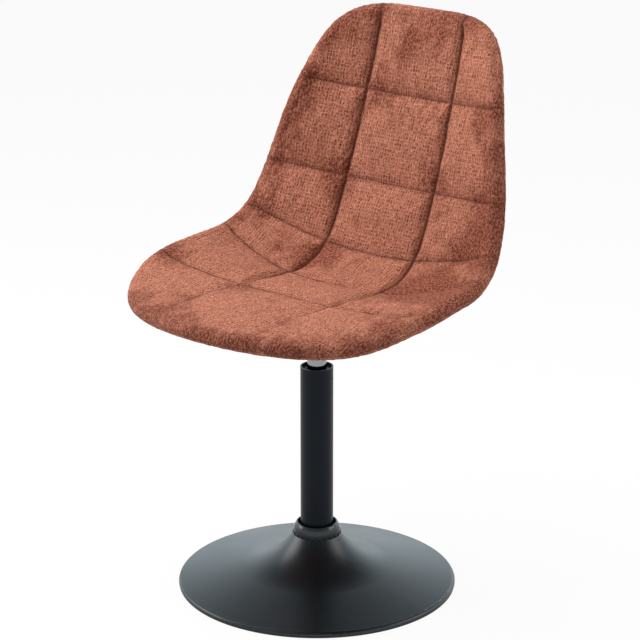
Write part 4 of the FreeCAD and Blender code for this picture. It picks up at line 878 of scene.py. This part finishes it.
@dataclass
class Cover:
    """One upholstered face of the bucket: foam under cloth, rolled round the rim."""

    name: str
    side: Side
    grid: SeamGrid
    rim_angles: tuple[float, ...]
    inner_height: float
    inner_outset: float
    lip_height: float
    long_depth: float = 0.0
    cross_depth: float = 0.0
    shoulder: float = 0.017
    cross_shoulder: float = 0.026
    dip_power: float = 2.2
    fade_start: float = 0.10
    fade_length: float = 0.15
    fade_least: float = 0.25
    calm_share: float = 0.06
    tip_reach: float = 0.020
    crown: float = 0.0016
    crown_width: float = 0.17
    puff_power: float = 1.5
    rim_reach: float = 0.045
    lump_height: float = 0.00034
    lump_sizes: tuple[float, float] = (0.0062, 0.0105)
    lump_waves: int = 40
    lump_seed: int = 5

    @property
    def form(self) -> BucketForm:
        """The form that the cover lies on."""
        return self.grid.form

    def seam_distances(self, flat: np.ndarray) -> tuple[np.ndarray, np.ndarray]:
        """Signed distances to the nearest cross seam and the nearest long seam."""
        x, along = flat[..., 0], flat[..., 1]
        crosses = np.stack([along - self.form.cross_place(number, x)
                            for number in range(len(self.form.cross_seams))])
        nearest = np.abs(crosses).argmin(axis=0)
        cross = np.take_along_axis(crosses, nearest[None], axis=0)[0]
        return cross, np.abs(x) - self.form.seam_place(along)

    def height(self, flat: np.ndarray) -> np.ndarray:
        """Height of the cloth over the middle surface: panels, seams and crown."""
        full = np.full(flat.shape[:-1], self.form.rim)
        if self.side is Side.BACK:
            return -full
        cross, long = self.seam_distances(flat)
        x, along = flat[..., 0], flat[..., 1]
        share = along / self.form.length
        fade = np.clip((share - self.fade_start) / self.fade_length, self.fade_least, 1)
        inside = 1 - np.abs(x) / np.maximum(self.form.half_width(along), 1e-4)
        calm = np.clip(inside / self.calm_share, 0, 1)
        dip_long = self.long_depth * self.dip(long, self.shoulder)
        dip_cross = self.cross_depth * self.dip(cross, self.cross_shoulder)
        tip = np.clip(np.minimum(along, self.form.length - along) / self.tip_reach, 0, 1)
        bulge = np.cos(math.pi * np.clip(x / self.crown_width, -0.5, 0.5))
        dips = np.maximum(dip_long * tip, dip_cross * calm) * fade
        return full - dips + self.crown * bulge * tip

    def dip(self, distance: np.ndarray, shoulder: float) -> np.ndarray:
        """How far down the cloth is drawn near a seam, 1 at the seam itself."""
        return np.clip(1 - np.abs(distance) / shoulder, 0, 1) ** self.dip_power

    def frames(self, loop: np.ndarray) -> tuple[np.ndarray, np.ndarray, np.ndarray]:
        """Positions, outward directions and upward directions along the outline."""
        centre = self.form.points(loop[:, 0], loop[:, 1], 0.0)
        up = self.form.points(loop[:, 0], loop[:, 1], 1.0) - centre
        ahead = np.roll(centre, -1, axis=0) - np.roll(centre, 1, axis=0)
        out = np.cross(ahead, up)
        return (centre, out / np.linalg.norm(out, axis=1, keepdims=True),
                up / np.linalg.norm(up, axis=1, keepdims=True))

    def build(self, puff: np.ndarray | None) -> bpy.types.Object:
        """Make the cover as one closed mesh.

        Args:
            puff: How the simulated cloth lies off its plain form, by row and column of
                the finer grid, or None.

        Returns:
            The new object.
        """
        grid = self.grid
        flat = grid.flat
        outer = self.form.points(flat[..., 0], flat[..., 1], self.height(flat))
        if puff is not None:
            outer = outer + puff
        inner = self.form.points(flat[..., 0], flat[..., 1], self.inner_height)
        loop = grid.loop(flat)
        centre, out, up = self.frames(loop)
        edge = grid.loop(outer)
        radius = self.form.rim
        rings = []
        first = np.abs(self.rim_angles[0])
        for angle in self.rim_angles:
            turn = math.radians(angle)
            ring = centre + radius * (math.cos(turn) * out + math.sin(turn) * up)
            if puff is not None:
                start = centre + radius * self.side.value * up
                ring = ring + (edge - start) * max(angle / first, 0.0) ** self.puff_power
            rings.append(ring)
        lip = centre + self.inner_outset * out
        rings.append(lip + self.lip_height * up)
        rings.append(lip + self.inner_height * up)
        return self.mesh(flat, outer, inner, rings, loop)

    def mesh(self, flat: np.ndarray, outer: np.ndarray, inner: np.ndarray,
             rings: list[np.ndarray], loop: np.ndarray) -> bpy.types.Object:
        """Join the outer face, the rings round the rim and the inner face."""
        rows, columns = outer.shape[:2]
        count = rows * columns
        numbers = np.arange(count).reshape(rows, columns)
        border = self.grid.loop(numbers)
        around = len(border)
        total = 2 * count + around * len(rings)
        spots = np.concatenate([outer.reshape(-1, 3), *rings, inner.reshape(-1, 3)])
        quads = self.grid.quads(numbers)
        last = total - count
        lines = [border]
        lines += [count + around * index + np.arange(around) for index in range(len(rings))]
        lines.append(last + border)
        bands = [np.stack([near, far, np.roll(far, -1), np.roll(near, -1)], axis=-1)
                 for near, far in zip(lines, lines[1:])]
        faces = np.concatenate([quads, *bands, last + quads[:, ::-1]])
        if self.side is Side.BACK:
            faces = faces[:, ::-1]
        piece = new_piece(self.name, spots, faces)
        self.write_places(piece, flat, rings, loop, faces)
        self.roughen(piece.data, last)
        piece.data.shade_smooth()
        return piece

    def roughen(self, data: bpy.types.Mesh, outside: int) -> None:
        """Raise the soft lumps of the pile on the outside, the same in every run."""
        spots = np.empty(len(data.vertices) * 3, np.float32)
        data.vertices.foreach_get("co", spots)
        spots = spots.reshape(-1, 3).astype(float)
        normals = np.empty(len(data.vertices) * 3, np.float32)
        data.vertex_normals.foreach_get("vector", normals)
        dice = np.random.default_rng(self.lump_seed)
        lumps = np.zeros(len(spots))
        for _ in range(self.lump_waves):
            way = dice.normal(size=3)
            wave = 2 * math.pi / dice.uniform(*self.lump_sizes) * way / np.linalg.norm(way)
            lumps += np.cos(spots @ wave + dice.uniform(0, 2 * math.pi))
        lumps *= self.lump_height / math.sqrt(self.lump_waves)
        lumps[outside:] = 0
        spots += lumps[:, None] * normals.reshape(-1, 3)
        data.vertices.foreach_set("co", spots.astype(np.float32).ravel())

    def write_places(self, piece: bpy.types.Object, flat: np.ndarray,
                     rings: list[np.ndarray], loop: np.ndarray,
                     faces: np.ndarray) -> None:
        """Give the mesh its place on the cloth and its distances to the seams."""
        ahead = np.roll(loop, -1, axis=0) - np.roll(loop, 1, axis=0)
        out = np.stack([ahead[:, 1], -ahead[:, 0]], axis=-1)
        out = out / np.linalg.norm(out, axis=1, keepdims=True)
        cloth = [flat.reshape(-1, 2)]
        run = 0.0
        edge = self.grid.loop(self.form.points(flat[..., 0], flat[..., 1],
                                               self.side.value * self.form.rim))
        before = edge
        for ring in rings:
            run = run + float(np.linalg.norm(ring - before, axis=1).mean())
            cloth.append(loop + out * run)
            before = ring
        cloth.append(flat.reshape(-1, 2))
        places = np.concatenate(cloth)
        layer = piece.data.uv_layers.new(name="cloth")
        layer.data.foreach_set("uv", places[faces.reshape(-1)].astype(np.float32).ravel())
        cross, long = self.seam_distances(flat)
        if self.side is Side.BACK:
            cross, long = cross * 0 + 1, long * 0 + 1
        edge_cross = self.grid.loop(cross)
        edge_long = self.grid.loop(long)
        hidden = np.ones(cross.size)
        reach = self.form.half_width(flat[..., 1]) - np.abs(flat[..., 0])
        tip = np.minimum(flat[..., 1], self.form.length - flat[..., 1])
        rim = np.clip(1 - np.minimum(reach, tip) / self.rim_reach, 0, 1)
        values = {
            "cross_seam": [cross.ravel(), *[edge_cross] * len(rings), hidden],
            "long_seam": [long.ravel(), *[edge_long] * len(rings), hidden],
            "rim": [rim.ravel(), *[np.ones(len(loop))] * len(rings), hidden]}
        for name, parts in values.items():
            attribute = piece.data.attributes.new(name, "FLOAT", "POINT")
            attribute.data.foreach_set("value", np.concatenate(parts).astype(np.float32))


@dataclass(frozen=True)
class QuiltCloth:
    """Cloth simulation that puffs the quilted front up between its sewn seams."""

    frames: int = 14
    pressure: float = 2.6
    tension: float = 22.0
    bending: float = 1.2
    mass: float = 0.25
    quality: int = 4
    sewn_width: float = 0.0006
    sunk: float = 0.0008
    most: float = 0.0042
    wobble: float = 0.0007
    wobble_waves: int = 26
    wobble_sizes: tuple[float, float] = (50, 170)
    seed: int = 11

    def simulate(self, cover: Cover) -> np.ndarray:
        """Run the cloth on the cover's own coarse grid.

        Args:
            cover: The quilted cover.

        Returns:
            How far each point of the grid moves, by row and column.
        """
        flat = cover.grid.flat
        rows, columns = flat.shape[:2]
        start = cover.form.points(flat[..., 0], flat[..., 1],
                                  cover.height(flat) - self.sunk + self.unevenness(flat))
        numbers = np.arange(rows * columns).reshape(rows, columns)
        sheet = new_piece("quilt_cloth", start.reshape(-1, 3), cover.grid.quads(numbers))
        cross, long = cover.seam_distances(flat)
        sewn = np.minimum(np.abs(cross), np.abs(long)) < self.sewn_width
        pins = sheet.vertex_groups.new(name="sewn")
        held = sorted(set(numbers[sewn].tolist()) | set(cover.grid.loop(numbers).tolist()))
        pins.add(held, 1.0, "REPLACE")
        self.set_cloth(sheet.modifiers.new("cloth", "CLOTH"), pins.name)
        for frame in range(1, self.frames + 1):
            bpy.context.scene.frame_set(frame)
        settled = sheet.evaluated_get(bpy.context.evaluated_depsgraph_get())
        spots = np.empty(rows * columns * 3, np.float32)
        settled.data.vertices.foreach_get("co", spots)
        bpy.context.scene.frame_set(1)
        bpy.data.objects.remove(sheet)
        plain = cover.form.points(flat[..., 0], flat[..., 1], cover.height(flat))
        moved = spots.reshape(rows, columns, 3).astype(float) - plain
        size = np.linalg.norm(moved, axis=-1, keepdims=True)
        LOG.info("quilt cloth moved up to %.1f mm", size.max() / MM)
        return moved * np.minimum(1, self.most / np.maximum(size, 1e-9))

    def set_cloth(self, cloth: bpy.types.Modifier, pins: str) -> None:
        """Give the simulation its cloth, its pins and its number of frames."""
        settings = {
            "quality": self.quality, "mass": self.mass,
            "tension_stiffness": self.tension, "compression_stiffness": self.tension,
            "shear_stiffness": self.tension / 2, "bending_stiffness": self.bending,
            "vertex_group_mass": pins, "use_pressure": True,
            "uniform_pressure_force": self.pressure, "use_dynamic_mesh": False}
        for name, value in settings.items():
            setattr(cloth.settings, name, value)
        cloth.settings.effector_weights.gravity = 0.0
        cloth.collision_settings.use_collision = False
        cloth.point_cache.frame_start = 1
        cloth.point_cache.frame_end = self.frames

    def unevenness(self, flat: np.ndarray) -> np.ndarray:
        """Soft lumps of the foam, the same in every run."""
        dice = np.random.default_rng(self.seed)
        lumps = np.zeros(flat.shape[:-1])
        for _ in range(self.wobble_waves):
            way = dice.uniform(-1, 1, 2)
            wave = dice.uniform(*self.wobble_sizes) * way / np.linalg.norm(way)
            lumps += np.cos(flat @ wave + dice.uniform(0, 2 * math.pi))
        return self.wobble * lumps / math.sqrt(self.wobble_waves)


def doubled(values: np.ndarray) -> np.ndarray:
    """A field with a smooth value put between each two, along rows and columns."""
    for axis in (0, 1):
        line = np.moveaxis(values, axis, 0)
        padded = np.concatenate([2 * line[:1] - line[1:2], line, 2 * line[-1:] - line[-2:-1]])
        between = (9 * (padded[1:-2] + padded[2:-1]) - padded[:-3] - padded[3:]) / 16
        result = np.empty((2 * len(line) - 1, *line.shape[1:]))
        result[0::2] = line
        result[1::2] = between
        values = np.moveaxis(result, 0, axis)
    return values


# Modelling by hand


class Bench:
    """Operators on one object at a time."""

    @staticmethod
    def clear() -> None:
        """Deselect everything."""
        if bpy.context.object and bpy.context.object.mode != "OBJECT":
            bpy.ops.object.mode_set(mode="OBJECT")
        for item in bpy.context.scene.objects:
            item.select_set(False)

    @staticmethod
    def take(piece: bpy.types.Object) -> None:
        """Select one piece alone."""
        Bench.clear()
        piece.select_set(True)
        bpy.context.view_layer.objects.active = piece

    @staticmethod
    def named(name: str) -> bpy.types.Object:
        """Name the active object and its mesh."""
        piece = bpy.context.object
        piece.name = name
        piece.data.name = name
        return piece

    @staticmethod
    def settle(piece: bpy.types.Object) -> None:
        """Put the object's place, turn and scale into its mesh."""
        Bench.take(piece)
        bpy.ops.object.transform_apply(location=True, rotation=True, scale=True)

    @staticmethod
    def copies(piece: bpy.types.Object, places: Iterable[Matrix]) -> None:
        """Join copies of a piece, one at each place, and drop the first."""
        mesh = bmesh.new()
        for place in places:
            copy = piece.data.copy()
            copy.transform(place)
            mesh.from_mesh(copy)
            bpy.data.meshes.remove(copy)
        mesh.to_mesh(piece.data)
        mesh.free()

    @staticmethod
    def bevel(piece: bpy.types.Object, width: float, segments: int) -> None:
        """Round the edges of a piece."""
        Bench.take(piece)
        modifier = piece.modifiers.new("bevel", "BEVEL")
        modifier.width = width
        modifier.segments = segments
        bpy.ops.object.modifier_apply(modifier=modifier.name)

    @staticmethod
    def smooth(piece: bpy.types.Object, angle: float = 40.0) -> None:
        """Shade smooth, with sharp edges kept."""
        Bench.take(piece)
        bpy.ops.object.shade_smooth_by_angle(angle=math.radians(angle))


def dress(piece: bpy.types.Object, material: bpy.types.Material, body: str) -> None:
    """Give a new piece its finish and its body."""
    piece.data.materials.clear()
    piece.data.materials.append(material)
    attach(piece, body)
    LOG.info("%s: %d faces, rides on %s", piece.name, len(piece.data.polygons), body)


# Sub-assemblies


@dataclass
class Upholstery:
    """The quilted front, the plain back and the stitches of the cross seams."""

    cloth: bpy.types.Material
    thread: bpy.types.Material
    form: BucketForm = field(default_factory=BucketForm)
    front_angles: tuple[float, ...] = (74, 58, 42, 26, 12, 0, -9, -15)
    back_angles: tuple[float, ...] = (-76, -62, -48, -36, -26, -17)
    stitch_pitch: float = 0.0046
    stitch_length: float = 0.0034
    stitch_radius: float = 0.00045
    stitch_proud: float = 0.3
    stitch_end: float = 0.004
    look_ahead: float = 0.01

    def front_cover(self) -> Cover:
        """The quilted side's sizes."""
        return Cover("quilted_front", Side.FRONT, SeamGrid(self.form), self.front_angles,
                     inner_height=0.0042, inner_outset=0.0042, lip_height=-0.0030,
                     long_depth=0.0078, cross_depth=0.0056)

    def back_cover(self) -> Cover:
        """The plain side's sizes."""
        grid = SeamGrid(self.form, middle_cells=16, side_cells=14,
                        panel_cells=(14, 9, 8, 9, 11, 10), crowding=0.2).finer(2)
        return Cover("plain_back", Side.BACK, grid, self.back_angles,
                     inner_height=-0.0050, inner_outset=0.0030, lip_height=-0.0040)

    def make(self) -> None:
        """Build and dress the upholstery."""
        cover = self.front_cover()
        puff = doubled(QuiltCloth().simulate(cover))
        if puff is not None:
            cover.grid = cover.grid.finer(2)
        front = cover.build(puff)
        dress(front, self.cloth, "seat")
        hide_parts("quilted_pad")
        back = self.back_cover().build(None)
        dress(back, self.cloth, "seat")
        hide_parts("back_cover")
        self.make_stitches(cover)

    def make_stitches(self, cover: Cover) -> None:
        """Lay a row of stitches in each cross seam."""
        Bench.clear()
        bpy.ops.mesh.primitive_uv_sphere_add(segments=8, ring_count=5, radius=1.0)
        stitch = Bench.named("cross_stitches")
        stitch.scale = (self.stitch_length / 2, self.stitch_radius, self.stitch_radius)
        Bench.settle(stitch)
        outline = self.form.outline
        places = []
        for number in range(len(self.form.cross_seams)):
            end = cover.grid.crossing(
                outline[:, 1] - self.form.cross_place(number, outline[:, 0]))
            count = int((outline[end, 0] - self.stitch_end) / self.stitch_pitch)
            x = np.arange(-count, count + 1) * self.stitch_pitch
            flat = self.form.cross_line(number, x)
            lift = cover.height(flat) + self.stitch_radius * self.stitch_proud
            spots = self.form.points(x, flat[:, 1], lift)
            above = self.form.points(x, flat[:, 1], lift + self.look_ahead)
            for index in range(1, len(x) - 1):
                ahead = Vector(spots[index + 1] - spots[index - 1]).normalized()
                up = Vector(above[index] - spots[index]).normalized()
                side = up.cross(ahead).normalized()
                turn = Matrix((ahead, side, ahead.cross(side))).transposed().to_4x4()
                places.append(Matrix.Translation(spots[index]) @ turn)
        Bench.copies(stitch, places)
        Bench.smooth(stitch, 80)
        dress(stitch, self.thread, "seat")


@dataclass
class ColumnTrim:
    """Flutes round the collar and the weld beads of the base."""

    plastic: bpy.types.Material
    weld: bpy.types.Material
    flute_count: int = 24
    flute_width: float = 0.0024
    flute_proud: float = 0.0009
    flute_share: float = 0.30
    flute_bevel: float = 0.3
    socket_gap: float = 0.0002
    socket_rise: float = 0.004
    bead_radius: float = 0.0016
    bead_inside: float = 0.0015
    bead_ripples: int = 52
    ripple: float = 0.010

    def make(self) -> None:
        """Build and dress the trim."""
        self.make_flutes()
        low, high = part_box("column_socket")
        self.make_weld("socket_weld", (high.x - low.x) / 2 + self.socket_gap,
                       low.z + self.socket_rise, "base")

    def make_flutes(self) -> None:
        """Raise the flutes on the collar's cone."""
        low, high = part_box("cover_collar")
        radius = (high.x - low.x) / 2
        height = high.z - low.z
        Bench.clear()
        bpy.ops.mesh.primitive_cube_add(size=1.0, location=(0, 0, 0))
        flute = Bench.named("collar_flutes")
        flute.scale = (self.flute_proud * 2, self.flute_width, height * self.flute_share)
        Bench.settle(flute)
        Bench.bevel(flute, self.flute_width * self.flute_bevel, 3)
        turns = [Matrix.Rotation(2 * math.pi * index / self.flute_count, 4, "Z")
                 @ Matrix.Translation((radius, 0, low.z + height * self.flute_share / 2))
                 for index in range(self.flute_count)]
        Bench.copies(flute, turns)
        Bench.smooth(flute)
        dress(flute, self.plastic, "base")

    def make_weld(self, name: str, radius: float, z: float, body: str) -> None:
        """Lay a rippled weld bead round a tube."""
        Bench.clear()
        bpy.ops.mesh.primitive_torus_add(
            location=(0, 0, z), major_radius=radius, minor_radius=self.bead_radius,
            major_segments=160, minor_segments=10)
        bead = Bench.named(name)
        Bench.settle(bead)
        for vertex in bead.data.vertices:
            angle = math.atan2(vertex.co.y, vertex.co.x)
            outside = abs(vertex.co.z - z) < self.bead_inside
            ripple = 1 + self.ripple * math.cos(self.bead_ripples * angle) * outside
            vertex.co.x *= ripple
            vertex.co.y *= ripple
        Bench.smooth(bead, 70)
        dress(bead, self.weld, body)


@dataclass
class SeatHardware:
    """Weld bead under the seat plate and the ribs of the lever's grip."""

    weld: bpy.types.Material
    plastic: bpy.types.Material
    trim: ColumnTrim
    rib_count: int = 7
    rib_radius: float = 0.0007
    rib_sunk: float = 0.3
    rib_start: float = 0.28
    rib_run: float = 0.40
    end_reach: float = 0.01
    weld_gap: float = 0.0004

    def make(self) -> None:
        """Build and dress the hardware."""
        low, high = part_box("cone_socket")
        plate_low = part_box("seat_plate")[0]
        self.trim.make_weld("plate_weld", (high.x - low.x) / 2 + self.weld_gap,
                            plate_low.z - self.weld_gap, "seat")
        self.make_grip_ribs()

    def grip_slope(self, low: Vector, high: Vector) -> float:
        """How steeply the grip rises towards +X, from the heights of its two ends."""
        vertices = np.array([v.co for v in bpy.data.objects["lever_grip"].data.vertices])
        x = vertices[:, 0]
        ends = vertices[x < low.x + self.end_reach], vertices[x > high.x - self.end_reach]
        near, far = (float(end[:, 2].min() + end[:, 2].max()) / 2 for end in ends)
        return (far - near) / (high.x - low.x - self.end_reach)

    def make_grip_ribs(self) -> None:
        """Put soft ribs round the middle of the grip."""
        low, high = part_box("lever_grip")
        length = high.x - low.x
        slope = self.grip_slope(low, high)
        Bench.clear()
        bpy.ops.mesh.primitive_torus_add(
            major_radius=(high.y - low.y) / 2 - self.rib_radius * self.rib_sunk,
            minor_radius=self.rib_radius, major_segments=48, minor_segments=8)
        rib = Bench.named("grip_ribs")
        Bench.settle(rib)
        lean = Matrix.Rotation(math.pi / 2 - math.atan(slope), 4, "Y")
        places = []
        for index in range(self.rib_count):
            share = self.rib_start + self.rib_run * index / (self.rib_count - 1)
            x = low.x + length * share
            z = (low.z + high.z) / 2 + slope * (x - (low.x + high.x) / 2)
            places.append(Matrix.Translation((x, 0, z)) @ lean)
        Bench.copies(rib, places)
        Bench.smooth(rib, 80)
        dress(rib, self.plastic, "lever")


@dataclass
class Studio:
    """Pale floor, plain soft light and the camera of the photograph."""

    azimuth: float = 40.0
    elevation: float = 17.9
    distance: float = 3.5
    target: Colour = (0.0035, 0.0030, 0.4054)
    lens: float = 136.9
    sensor: float = 36.0
    world_strength: float = 0.30
    floor_white: float = 0.93
    floor_size: float = 90.0
    walls: float = 2.1
    ceiling: float = 0.12
    wall_top: tuple[float, float] = (0.85, 0.30)
    mirrored: tuple[float, ...] = (0.80, 0.93, 1.0, 1.0)
    white: tuple[float, ...] = (1.0, 1.0, 1.0, 1.0)
    floor_colour: tuple[float, ...] = (0.93, 0.93, 0.93, 1.0)
    lit_height: float = 0.5
    lights: tuple[tuple[str, Colour, float, float], ...] = (
        ("top_light", (-0.5, -0.3, 2.4), 1.4, 33.0),
        ("left_light", (-2.1, -1.0, 1.5), 1.5, 40.0),
        ("right_light", (1.7, 1.4, 1.6), 1.5, 24.0))

    def make_camera(self) -> None:
        """Set the camera where the photograph was taken from."""
        data = bpy.data.cameras.new("camera")
        data.lens = self.lens
        data.sensor_width = self.sensor
        camera = bpy.data.objects.new("camera", data)
        bpy.context.scene.collection.objects.link(camera)
        turn = math.radians(self.azimuth)
        tilt = math.radians(self.elevation)
        away = Vector((math.sin(turn) * math.cos(tilt), -math.cos(turn) * math.cos(tilt),
                       math.sin(tilt)))
        camera.location = Vector(self.target) + away * self.distance
        camera.rotation_euler = away.to_track_quat("Z", "Y").to_euler()
        bpy.context.scene.camera = camera

    def make_world(self) -> None:
        """Plain light from all round, white behind the object."""
        sheet = NodeSheet("studio", world=True)
        way = sheet.node("ShaderNodeTexCoord", output="Generated")
        rise = sheet.node("ShaderNodeSeparateXYZ", None, (way,), 2)
        walls = rise.ramp(*self.wall_top)
        shine = sheet.node("ShaderNodeBackground", None,
                           {"Color": self.white, "Strength": self.world_strength})
        mirrored = sheet.node("ShaderNodeBackground", None, {
            "Color": self.mirrored,
            "Strength": self.ceiling + (self.walls - self.ceiling) * walls})
        white = sheet.node("ShaderNodeBackground", None,
                           {"Color": self.white, "Strength": 1.0})
        for ray, light in (("Is Glossy Ray", mirrored), ("Is Camera Ray", white)):
            share = sheet.node("ShaderNodeLightPath", output=ray)
            shine = sheet.node("ShaderNodeMixShader", None, (share, shine, light))
        sheet.node("ShaderNodeOutputWorld", None, {"Surface": shine})
        bpy.context.scene.world = sheet.block

    def make_light(self, name: str, place: Colour, size: float, power: float) -> None:
        """Hang a square soft light that looks at the seat."""
        data = bpy.data.lights.new(name, "AREA")
        data.size = size
        data.energy = power
        light = bpy.data.objects.new(name, data)
        bpy.context.scene.collection.objects.link(light)
        light.location = place
        away = Vector(place) - Vector((0.0, 0.0, self.lit_height))
        light.rotation_euler = away.to_track_quat("Z", "Y").to_euler()

    def make_floor(self) -> None:
        """Lay a pale floor that keeps the object's shadow."""
        Bench.clear()
        bpy.ops.mesh.primitive_plane_add(size=self.floor_size, location=(0, 0, 0))
        floor = Bench.named("floor")
        sheet = NodeSheet("pale_floor")
        camera_ray = sheet.node("ShaderNodeLightPath", output="Is Camera Ray")
        ray = camera_ray.most(sheet.node("ShaderNodeLightPath", output="Is Glossy Ray"))
        matt = sheet.node("ShaderNodeBsdfDiffuse", None, {"Color": self.floor_colour})
        glow = sheet.node("ShaderNodeEmission", None,
                          {"Color": self.white, "Strength": 1.0})
        mixed = sheet.node("ShaderNodeMixShader", None, (ray * self.floor_white, matt, glow))
        sheet.node("ShaderNodeOutputMaterial", None, {"Surface": mixed})
        floor.data.materials.append(sheet.block)

    def make(self) -> None:
        """Build the studio."""
        self.make_world()
        self.make_floor()
        for name, place, size, power in self.lights:
            self.make_light(name, place, size, power)
        bpy.context.scene.view_settings.view_transform = "Standard"


class FinishBoard:
    """Every finish, and which CAD nodes get it."""

    def __init__(self) -> None:
        """Mix the finishes."""
        self.cloth = Chenille("rust_chenille").material()
        self.thread = SewingThread("rust_thread").material()
        primed = (0.022, 0.022, 0.023)
        self.weld = CoatedSteel("primed_weld", primed, roughness=0.5).material()
        self.collar = MouldedPlastic(
            "collar_plastic", (0.006, 0.007, 0.009), roughness=0.16, grain=600.0,
            depth=0.000005, shine=0.3).material()
        self.grip = MouldedPlastic("grip_plastic", (0.020, 0.020, 0.021),
                                   roughness=0.5).material()
        powder = CoatedSteel("dish_powder_coat", (0.0045, 0.0060, 0.0080), roughness=0.33,
                             shine=0.32, dust=0.004).material()
        tube = CoatedSteel("tube_coat", (0.0035, 0.0062, 0.0110), roughness=0.36,
                           shine=0.14, grain=1200.0, depth=0.00004, dust=0.004).material()
        primer = CoatedSteel("black_primer", primed, roughness=0.55).material()
        rubber = SoftRubber("black_rubber").material()
        bush = MouldedPlastic("bush_plastic", (0.56, 0.58, 0.57), roughness=0.42).material()
        shell = MouldedPlastic("shell_plastic", (0.05, 0.05, 0.052), roughness=0.6).material()
        chrome = TurnedMetal("lift_chrome", (0.32, 0.32, 0.335), roughness=0.07,
                             rings=1500.0, ring_depth=0.000001, smear=0.05).material()
        steel = TurnedMetal("bearing_steel", (0.58, 0.58, 0.58), roughness=0.24).material()
        zinc = TurnedMetal("zinc_steel", (0.60, 0.60, 0.57), roughness=0.32).material()
        brass = TurnedMetal("cage_brass", (0.72, 0.52, 0.24), roughness=0.30).material()
        alloy = TurnedMetal("gland_alloy", (0.66, 0.67, 0.69), roughness=0.34).material()
        groups = (
            (powder, ("base_dish", "seat_plate", "release_lever")),
            (tube, ("column_tube",)),
            (primer, ("column_socket", "brace_disc", "cone_socket", "lever_bracket")),
            (rubber, ("edge_ring", "rubber_buffer")),
            (self.collar, ("cover_collar",)),
            (bush, ("guide_bush",)),
            (self.grip, ("bush_lock_pin", "lever_grip")),
            (shell, ("seat_shell",)),
            (chrome, ("piston_rod", "gas_cylinder")),
            (steel, ("column_floor", "lower_race", "upper_race", "bearing_balls",
                     "rod_clip", "release_pin", "lever_pivot_pin")),
            (zinc, ("seat_bolts",)),
            (brass, ("ball_cage", "threaded_inserts")),
            (alloy, ("piston", "cylinder_gland")),
            (self.cloth, ("quilted_pad", "back_cover")))
        self.nodes = {name: finish for finish, names in groups for name in names}

    def dress_nodes(self, nodes: dict[str, bpy.types.Object]) -> None:
        """Give each CAD node its finish."""
        for name, node in nodes.items():
            for slot in node.material_slots:
                slot.material = self.nodes[name]


def main() -> None:
    """Build the scene round the frame."""
    logging.basicConfig(level=logging.INFO, format="%(message)s")
    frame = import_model()
    studio = Studio()
    studio.make_camera()
    board = FinishBoard()
    board.dress_nodes(frame["nodes"])
    Upholstery(board.cloth, board.thread).make()
    trim = ColumnTrim(board.collar, board.weld)
    trim.make()
    SeatHardware(board.weld, board.grip, trim).make()
    studio.make()


if __name__ == "__main__":
    main()
